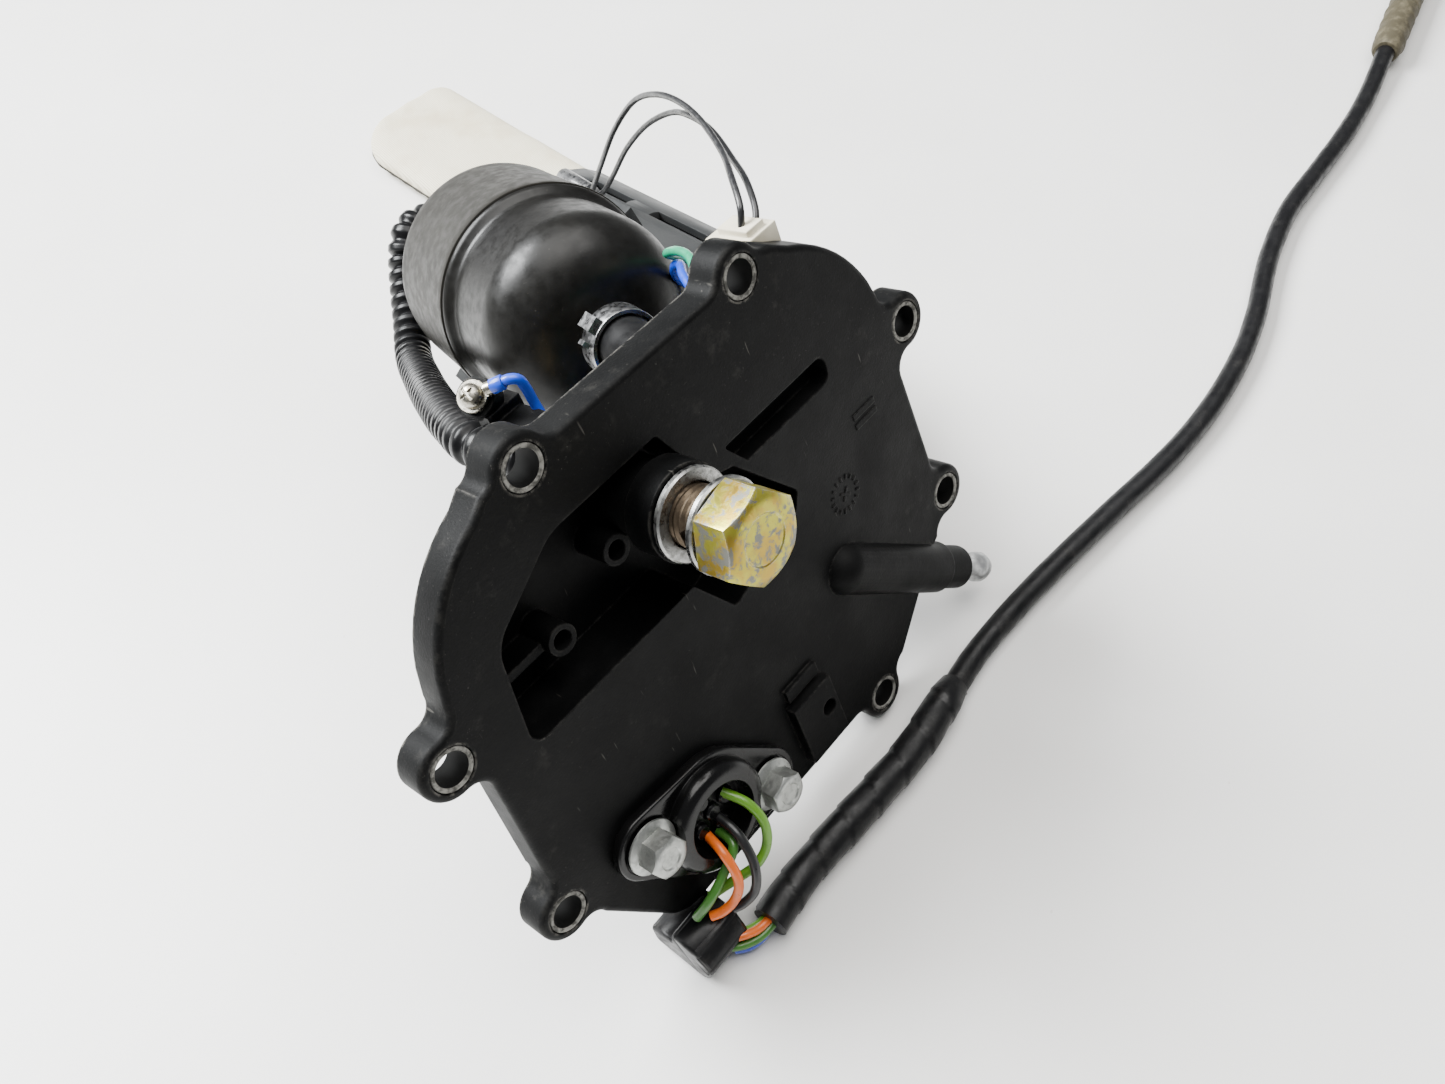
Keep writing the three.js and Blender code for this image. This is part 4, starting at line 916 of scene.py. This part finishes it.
# filter
def make_filter():
    outside = [(4.1, -44.4), (4.1, -32), (4.6, -31), (6.5, -30.4)]
    for k in range(13):
        a = math.radians(90 - 7.5 * k)
        outside.append((9.5 + 14.2 * math.cos(a), -18 - 12.2 * math.sin(a)))
    outside += [(23.7, -2.6), (23.75, -2.1), (24.2, -1.3), (25.1, -0.7), (25.7, -0.1), (25.8, 0.55)]
    inside = [(24.9, 0.6), (22.4, -1.8), (22.4, -17.8), (18.4, -24.8), (12, -27.9), (2.7, -30.2),
              (2.7, -44.4)]
    turned_piece("filter_dome_pressed", outside + inside, FILTER, "dome", "filter_dome", 96, smooth=50)
    shell = [
        (25.9, 0.95), (26.15, 1.1), (26.2, 1.5), (26.2, 3.4), (26.0, 3.9), (25.8, 4.4), (25.75, 29.5),
        (25.5, 31.8), (24.8, 33.6), (23.6, 34.7), (21.8, 35.1), (8, 35.1), (4.4, 35.8), (2.9, 37.2),
        (2.9, 49.1), (1.7, 49.1), (1.7, 33.9), (24.6, 33.9), (24.6, 0.95),
    ]
    turned_piece("filter_can_drawn", shell, FILTER, "can", "filter_can", 96, smooth=50)


def ear_clamp(name, node, base, y, ear, inner=7.05, width=6.0):
    h = width / 2
    band = [(inner, y - h), (inner + 0.75, y - h), (inner + 0.85, y - h + 0.15), (inner + 0.85, y + h - 0.15),
            (inner + 0.75, y + h), (inner, y + h)]
    o = mesh_object(name, *lathe(band, 64), base)
    turn = Matrix.Rotation(-math.atan2(ear[1], ear[0]), 4, "Y")
    bump = moved(block(2.0, width - 0.9, 3.2, inner + 1.6, y, 0), turn)
    tab = moved(block(1.6, 2.2, 1.0, inner + 0.9, y - 0.9, 4.2), turn)
    combine(o, [bump, tab], "UNION", base)
    slit = moved(block(3, 1.1, 3.4, inner + 1.4, y, -5.2), turn)
    combine(o, [slit], "DIFFERENCE", base)
    finish_piece(o, node, "steel", smooth=35)


make_filter()
ear_clamp("filter_clamp_band", "filter_clamp", FILTER, -37.4, (-0.5, 0.87))
ear_clamp("pump_clamp_band", "pump_clamp", PUMP, -53, (0.8, 0.6))


# carrier
def softened(node, name, material, width, angle=32):
    """The CAD piece itself, with its edges rounded and its facets smoothed."""
    o = tidy_mesh(new_object(name, NODES[node].data.copy()), 0.00001, 0.5)
    if width:
        bevel_edges(o, width, 2, angle)
    return finish_piece(o, node, material, smooth=30)


softened("pump_holder", "pump_holder_moulded", "holder", 0.4, 36)
softened("strainer_neck", "strainer_neck_moulded", "cream", 0)
softened("sensor_plug", "sensor_plug_moulded", "cream", 0.35)
softened("level_sensor", "level_sensor_shell", "steel", 0.25, 36)
softened("outlet_union", "outlet_union_brazed", "brass", 0.3, 36)
softened("harness_plug", "harness_plug_shell", "black", 0.6)
for number in (1, 2):
    softened(f"carrier_screw_{number}", f"carrier_screw_{number}_zinc", "zinc", 0.15, 36)


# hoses and lines, in the level frame
def hose_route(start, middle, end):
    """start and end are a frame and the two depths on its axis between which the hose is straight."""
    (base_a, a0, a1), (base_b, b0, b1) = start, end
    return [to_level(base_a, (0, a0, 0)), to_level(base_a, (0, a1, 0)), *middle,
            to_level(base_b, (0, b1, 0)), to_level(base_b, (0, b0, 0))]


HOSE_RADIUS = 6.4
LEAD_RADIUS = 1.0
SUPPLY_BEND = [
    (20.6, 37.5, 86.6), (23, 30.5, 84.5), (31, 26, 78.6), (42, 23.6, 71), (54, 22.6, 61),
    (64.3, 26.5, 50.7),
]
LINE_BEND = [
    (48.3, 134.2, 51), (47.8, 141.1, 53), (42.8, 142.9, 55.5), (37.2, 141.6, 55), (32.8, 138.8, 51.5),
    (27.5, 133.5, 48), (21.9, 127.1, 45.5), (14.8, 118.6, 44.6), (6.2, 102.5, 53), (-4.1, 81.3, 67.5),
    (-11.8, 63.4, 79.5),
]
UNION = along(FLANGE, (-10, 25, 33.5), (-5.5, 13, 6.5))


def rings(s, a, pitch=3.6, low=3.55, high=4.58):
    """The line's rings: round crests and narrower valleys."""
    t = (s / pitch) % 1.0
    crest = 0.5 - 0.5 * math.cos(2 * math.pi * t)
    return low + (high - low) * min(1.0, crest * 1.35) ** 0.8


supply = hose_route((FILTER, -32.9, -45.4), SUPPLY_BEND, (PUMP, -48, -61))
level_tube("supply_hose_rubber", supply, HOSE_RADIUS, "rubber", "supply_hose", 32, 1.2, bore=0.72)
line = hose_route((FILTER, 37.6, 50.1), LINE_BEND, (UNION, 6, 16))
level_tube("corrugated_line_rings", line, rings, "line", "corrugated_line", 28, 0.3, bore=0.8)


# leads
PUMP_LEADS = {
    "teal": [
        (67, 44, 62), (62, 50, 72), (50, 55, 84), (44, 54, 90), (43, 50, 93.5), (41.6, 45.5, 95.5),
        (37, 39.5, 97), (30, 33.5, 98), (21, 29, 96.5), (10.4, 28.2, 86), (4, 20.5, 66), (-8, 13.5, 50),
        (-17, 9, 39), (-23, 8, 31),
    ],
    "blue": [
        (63, 45, 61), (56, 51.5, 70), (47.4, 55, 80), (45.2, 53.4, 86), (43.5, 50, 89.5), (40, 46, 91.3),
        (35.5, 38.5, 92.3), (28, 30.2, 92.6), (19, 25.2, 89.5), (13.4, 25.2, 77), (3, 20, 61),
        (-8, 12.5, 46), (-16, 7.5, 37), (-22, 7.5, 28.5),
    ],
}
SENSOR_LEADS = [
    [
        (41.2, 30.4, 110.4), (42.6, 31.6, 113.4), (47.8, 38, 114.4), (55.2, 46.7, 112),
        (61.8, 58.1, 110.8), (66.2, 68.1, 108.6), (69.5, 77.6, 104.6), (72.4, 87.5, 97.5),
        (74.5, 97.7, 84.6), (76.5, 107.4, 68), (79.5, 116, 54), (81.6, 119.2, 50.6),
    ],
    [
        (44.6, 30.2, 107.4), (46.9, 31.5, 109.4), (51.8, 37.4, 110.4), (58.7, 47.2, 108),
        (65.9, 59.2, 105.6), (70.2, 68.9, 102.4), (74, 77.7, 97.4), (76.5, 88.3, 88.6), (78.5, 98.7, 76.3),
        (80.5, 108, 62), (83, 116, 51.5), (83.4, 119.2, 49.2),
    ],
]
GROUND_LEAD = [(-11.2, 44.3, 103.9), (-9.7, 42.9, 104.7), (-8.5, 41.9, 104.2), (-7.9, 41.3, 102),
               (-7.6, 40.2, 98.2), (-8, 36.9, 94.2)]
GLAND_LEADS = {
    "orange": [(-32, -15.2, 27.3), (-33.2, -20.8, 28.1), (-34.4, -25.4, 23.2), (-36.5, -26, 18.6),
               (-39.5, -25, 16), (-41.5, -23.5, 15)],
    "green": [(-29.2, -16.1, 25.5), (-30, -20.6, 26.1), (-34.8, -21.9, 22.6), (-40, -22.4, 19.5),
              (-43.6, -21.4, 15)],
    "light": [
        (-24.5, -13.4, 32.4), (-22.8, -19, 31), (-22.8, -23, 27), (-25, -25, 22), (-28.5, -24.8, 18.6),
        (-33.5, -22.6, 16.4), (-38.4, -20.6, 15),
    ],
    "black": [(-28, -14.8, 28.7), (-28.4, -20.6, 28.4), (-30, -26, 23.6), (-32.6, -28, 18.6),
              (-35.4, -27.2, 15.8), (-37.4, -26, 15)],
}
for colour, route in PUMP_LEADS.items():
    level_tube(f"pump_lead_{colour}_insulated", route, LEAD_RADIUS, colour, f"pump_lead_{colour}")
for number, route in enumerate(SENSOR_LEADS, 1):
    level_tube(f"sensor_lead_{number}_insulated", route, 0.7, "wire_black", f"sensor_lead_{number}")
level_tube("ground_lead_insulated", GROUND_LEAD, LEAD_RADIUS, "blue", "ground_lead", step=0.6)
for colour, route in GLAND_LEADS.items():
    material = "wire_black" if colour == "black" else colour
    level_tube(f"gland_lead_{colour}_insulated", route, 1.05, material, f"gland_lead_{colour}", step=0.7)


# terminal
def make_terminal():
    at = along(FLANGE, TERMINAL[0], Vector(TERMINAL[1]) - Vector(TERMINAL[0]))
    head = [(0, -1.6), (1.6, -1.6), (1.6, 1.5), (2.1, 1.5), (2.3, 1.7), (2.25, 2.2), (1.95, 2.8), (1.3, 3.3),
            (0.6, 3.48), (0, 3.5)]
    screw = mesh_object("terminal_screw_pan", *lathe(head, 48), at)
    slot = block(3.0, 1.3, 0.6, 0, 3.6, 0)
    slots = [moved(slot, Matrix.Rotation(a, 4, "Y")) for a in (0.4, 0.4 + math.pi / 2)]
    combine(screw, slots, "DIFFERENCE", at)
    finish_piece(screw, "terminal_screw", "nickel", smooth=40)
    washer = [(1.9, 0.3), (3.0, 0.3), (3.1, 0.4), (3.1, 1.1), (3.0, 1.2), (1.9, 1.2)]
    eye = mesh_object("ring_terminal_pressed", *lathe(washer, 48), at)
    combine(eye, [block(2.4, 0.9, 1.6, 0, 0.75, 3.4)], "UNION", at)
    barrel = rod(1.2, (0, 1.7, 3.2), (0, 1.7, 5.8), 24)
    combine(eye, [barrel], "UNION", at)
    finish_piece(eye, "ring_terminal", "nickel", smooth=40)
    collar = mesh_object("ring_terminal_sleeve", *rod(1.45, (0, 1.7, 4.4), (0, 1.7, 7.0), 24), at)
    bevel_edges(collar, 0.25, 2, 40)
    finish_piece(collar, None, "blue", smooth=40)


make_terminal()


# harness, a free cord on the bench
SLEEVE_ROUTE = [(-32.4, -31.4, 4.8), (-21, -30.4, 4.8), (-9, -30.7, 4.8), (5, -31.5, 4.8), (19, -32, 4.8),
                (35, -30.6, 4.8)]
CABLE_ROUTE = [
    (35.4, -30.6, 3.4), (51, -29.2, 3.4), (70, -29.6, 3.4), (88, -31.2, 3.4), (109, -33.5, 3.4),
    (129, -36, 3.4), (149, -37, 3.4), (165, -36.2, 3.4), (181, -34, 3.4), (197, -30, 3.4), (219, -23, 3.4),
    (242, -18.3, 3.4), (264, -17.2, 3.4), (285, -16.4, 3.4), (309, -14, 3.4), (336, -9, 3.4),
]
TAIL_ROUTE = [(392.5, 1.6, 3.4), (410, 5, 3.4), (428, 8.4, 3.4)]
SPLICE = [(336.4, -8.9, 5.6), (355, -5.4, 5.6), (374, -1.9, 5.6), (392, 1.5, 5.6)]


def wrapped(radius, pitch, ridge, wobble=0.0):
    """A radius with the helical lap of wound tape and a slow unevenness."""
    def size(s, a):
        lap = ((s / pitch) + a / (2 * math.pi)) % 1.0
        uneven = noise.noise(Vector((s * 0.09, math.cos(a) * 0.8, math.sin(a) * 0.8))) * wobble
        return radius - ridge + ridge * (1 - lap) ** 0.5 + uneven
    return size


HARNESS = SLEEVE_ROUTE[:-1] + [(34, -30.9, 4.2)] + CABLE_ROUTE[1:-1] + SPLICE + TAIL_ROUTE[1:]


def make_harness():
    cable = level_tube("harness_cable_jacket", HARNESS, wrapped(3.0, 300, 0.0, 0.12), "cable",
                       ["harness_cable", "harness_tail"], 20, 1.0)
    wrap = SLEEVE_ROUTE + [(39.5, -30.1, 4.0)]
    sleeve = level_tube("harness_sleeve_wrapped", wrap, sleeve_size, "cable", "harness_sleeve", 32, 0.5)
    taped = [(334.5, -9.2, 5.5)] + SPLICE + [(394, 1.8, 5.4)]
    splice = level_tube("splice_taped", taped, splice_size, "tape", "splice_sleeve", 28, 0.6)


def sleeve_size(s, a):
    """Tape laps over the leads all along its length, and the sleeve narrows at its far end."""
    lap = wrapped(4.35, 9.5, 0.42, 0.3)(s, a)
    return lap * min(1.0, (75.0 - s) / 9.0 * 0.3 + 0.72)


def splice_size(s, a):
    ends = min(1.0, s / 5, (59 - s) / 5)
    radius = (4.1 + 1.15 * max(0.0, ends) ** 0.6) * wrapped(1.0, 7.5, 0.06)(s, a)
    return max(3.1, radius + 0.3 * noise.noise(Vector((s * 0.2, a, 3))))


make_harness()
for number, (colour, route) in enumerate((
    ("orange", [(-41.6, -26.6, 7.2), (-38.8, -29.2, 7.4), (-35.5, -30.6, 6.4), (-31.5, -31, 5.8)]),
    ("green", [(-42.2, -27.6, 4.6), (-39.6, -30, 4.8), (-36, -31.6, 4.6), (-31.5, -32, 4.6)]),
    ("blue", [(-41, -28.6, 2.6), (-38.6, -30.6, 2.8), (-35.8, -31.6, 3.2), (-31.5, -31.3, 3.9)]),
    ("light", [(-41.8, -25.9, 5.6), (-38.6, -28, 6.0), (-35.2, -29.4, 5.2), (-31.5, -30.2, 4.9)]),
), 1):
    level_tube(f"core_{number}", route, 0.95, colour, step=0.7)


# rubber boot round the turn of the leads
def make_boot():
    o = tidy_mesh(new_object("lead_boot_moulded", NODES["lead_boot"].data.copy()), 0.00001, 0.5)
    bevel_edges(o, 0.9, 4, 25)
    return finish_piece(o, "lead_boot", "boot", smooth=40)


make_boot()


# strainer
def corner_inset(distance, radius):
    """How far a rounded corner draws the side in, at a distance from the end."""
    return radius - math.sqrt(max(0.0, radius ** 2 - max(0.0, radius - distance) ** 2))


def make_strainer():
    """A flat sewn bag: fullest along its middle, pinched at the seams, with a thin dark strip along its far
    end, round its far left corner and down its left side.
    """
    x0, y0, y1, half, skew = 105.5, 150, 249.4, 20.8, 0.06
    nu, nv = 120, 88
    verts, faces = [], []
    for i in range(nu + 1):
        u = i / nu
        y = y0 + (y1 - y0) * u
        end = min(1.0, max(0.0, u / 0.04), max(0.0, (1 - u) / 0.03))
        left, right = -half + corner_inset(y1 - y, 18.5), half - corner_inset(y1 - y, 6.5)
        for k in range(nv):
            a = 2 * math.pi * k / nv
            c, s = math.cos(a), math.sin(a)
            side = math.copysign(abs(c) ** 0.55, c)
            tall = math.copysign(abs(s) ** 0.75, s)
            ribs = 0.16 * math.cos(side * 9.4) * (1 - abs(side) ** 4)
            sag = 0.35 * noise.noise(Vector((side * 2.1, u * 7, 5.5 if s > 0 else 1.5)))
            height = (0.35 + 3.85 * end ** 0.5) * tall + (ribs + sag) * end * (1 if s > 0 else 0.3)
            verts.append(((left + right) / 2 + side * (right - left) / 2, y - y0, max(-4.2, height) + 4.6))
    for i in range(nu):
        for k in range(nv):
            a, b = i * nv + k, i * nv + (k + 1) % nv
            faces.append([a, b, b + nv, a + nv])
    faces += [list(range(nv)), [nu * nv + k for k in range(nv)]]
    turn = Matrix.Translation((x0, y0, 0.3)) @ Matrix.Rotation(-skew, 4, "Z")
    bag = mesh_object("strainer_bag_sewn", *[[turn @ Vector(v) for v in verts], faces], LEVEL)
    finish_piece(bag, "strainer_bag", "mesh", smooth=60)
    # A thin dark brown strip along the far end of the bag, round its far left corner and down its left side.
    dark_edge_strip = []
    for k in range(41):
        angle = math.pi / 2 * k / 40
        dark_edge_strip.append((-half + 18.5 - 18.2 * math.sin(angle), y1 - y0 - 18.5 + 18.2 * math.cos(angle), 3.2))
    dark_edge_strip = [(8 - 2 * k, y1 - y0 - 0.4, 3.2) for k in range(5)] + dark_edge_strip
    dark_edge_strip += [(-half + 0.3, y1 - y0 - 22 - 4 * k, 3.1) for k in range(8)]
    path = [turn @ Vector(p) for p in dark_edge_strip]
    strip = mesh_object("strainer_dark_edge",
                        *tube(path, lambda s, a: 0.55 + 0.1 * math.sin(s * 0.9), 10, 1.5), LEVEL)
    finish_piece(strip, None, "dark_edge_strip", smooth=60)


make_strainer()


# what keeps its CAD shape
KEPT = {
    "rubber": "flange_seal gland_seal pump_sleeve",
    "paper": "filter_element",
    "steel": "pump_casing valve_spring",
    "black": "pump_outlet_cover pump_inlet_cover impeller",
    "aluminium": "pump_chamber",
    "copper": "armature",
    "magnet": "magnet_upper magnet_lower",
    "brass": "check_valve",
}
for material, nodes in KEPT.items():
    for node in nodes.split():
        NODES[node].data.materials.clear()
        NODES[node].data.materials.append(M[material])


# bench
def make_bench():
    s = Shader("bench_paint", 0.42)
    cloud = s.noise(160, 4, 0.6)
    color = s.mix(s.range(cloud, 0.3, 0.7), (0.72, 0.71, 0.69), (0.77, 0.765, 0.75))
    patch = s.range(s.noise(60, 5, 0.7), 0.62, 0.78)
    smear = s.math("MULTIPLY", patch, s.range(s.noise(9, 5, 0.75), 0.5, 0.72))
    color = s.mix(s.math("MULTIPLY", smear, 0.3), color, (0.5, 0.44, 0.36))
    speck = s.range(s.noise(2.6, 2, 0.5), 0.76, 0.8, 0, 0.3)
    s.color(s.mix(speck, color, (0.4, 0.36, 0.32)))
    s.bump((s.noise(7, 4), 0.06))
    side = 1.6
    corners = [(x, y, -0.0003) for x, y in ((-side, -side), (side, -side), (side, side), (-side, side))]
    bench = mesh_object("bench", corners, [[0, 1, 2, 3]])
    bench.data.materials.append(s.material)


make_bench()
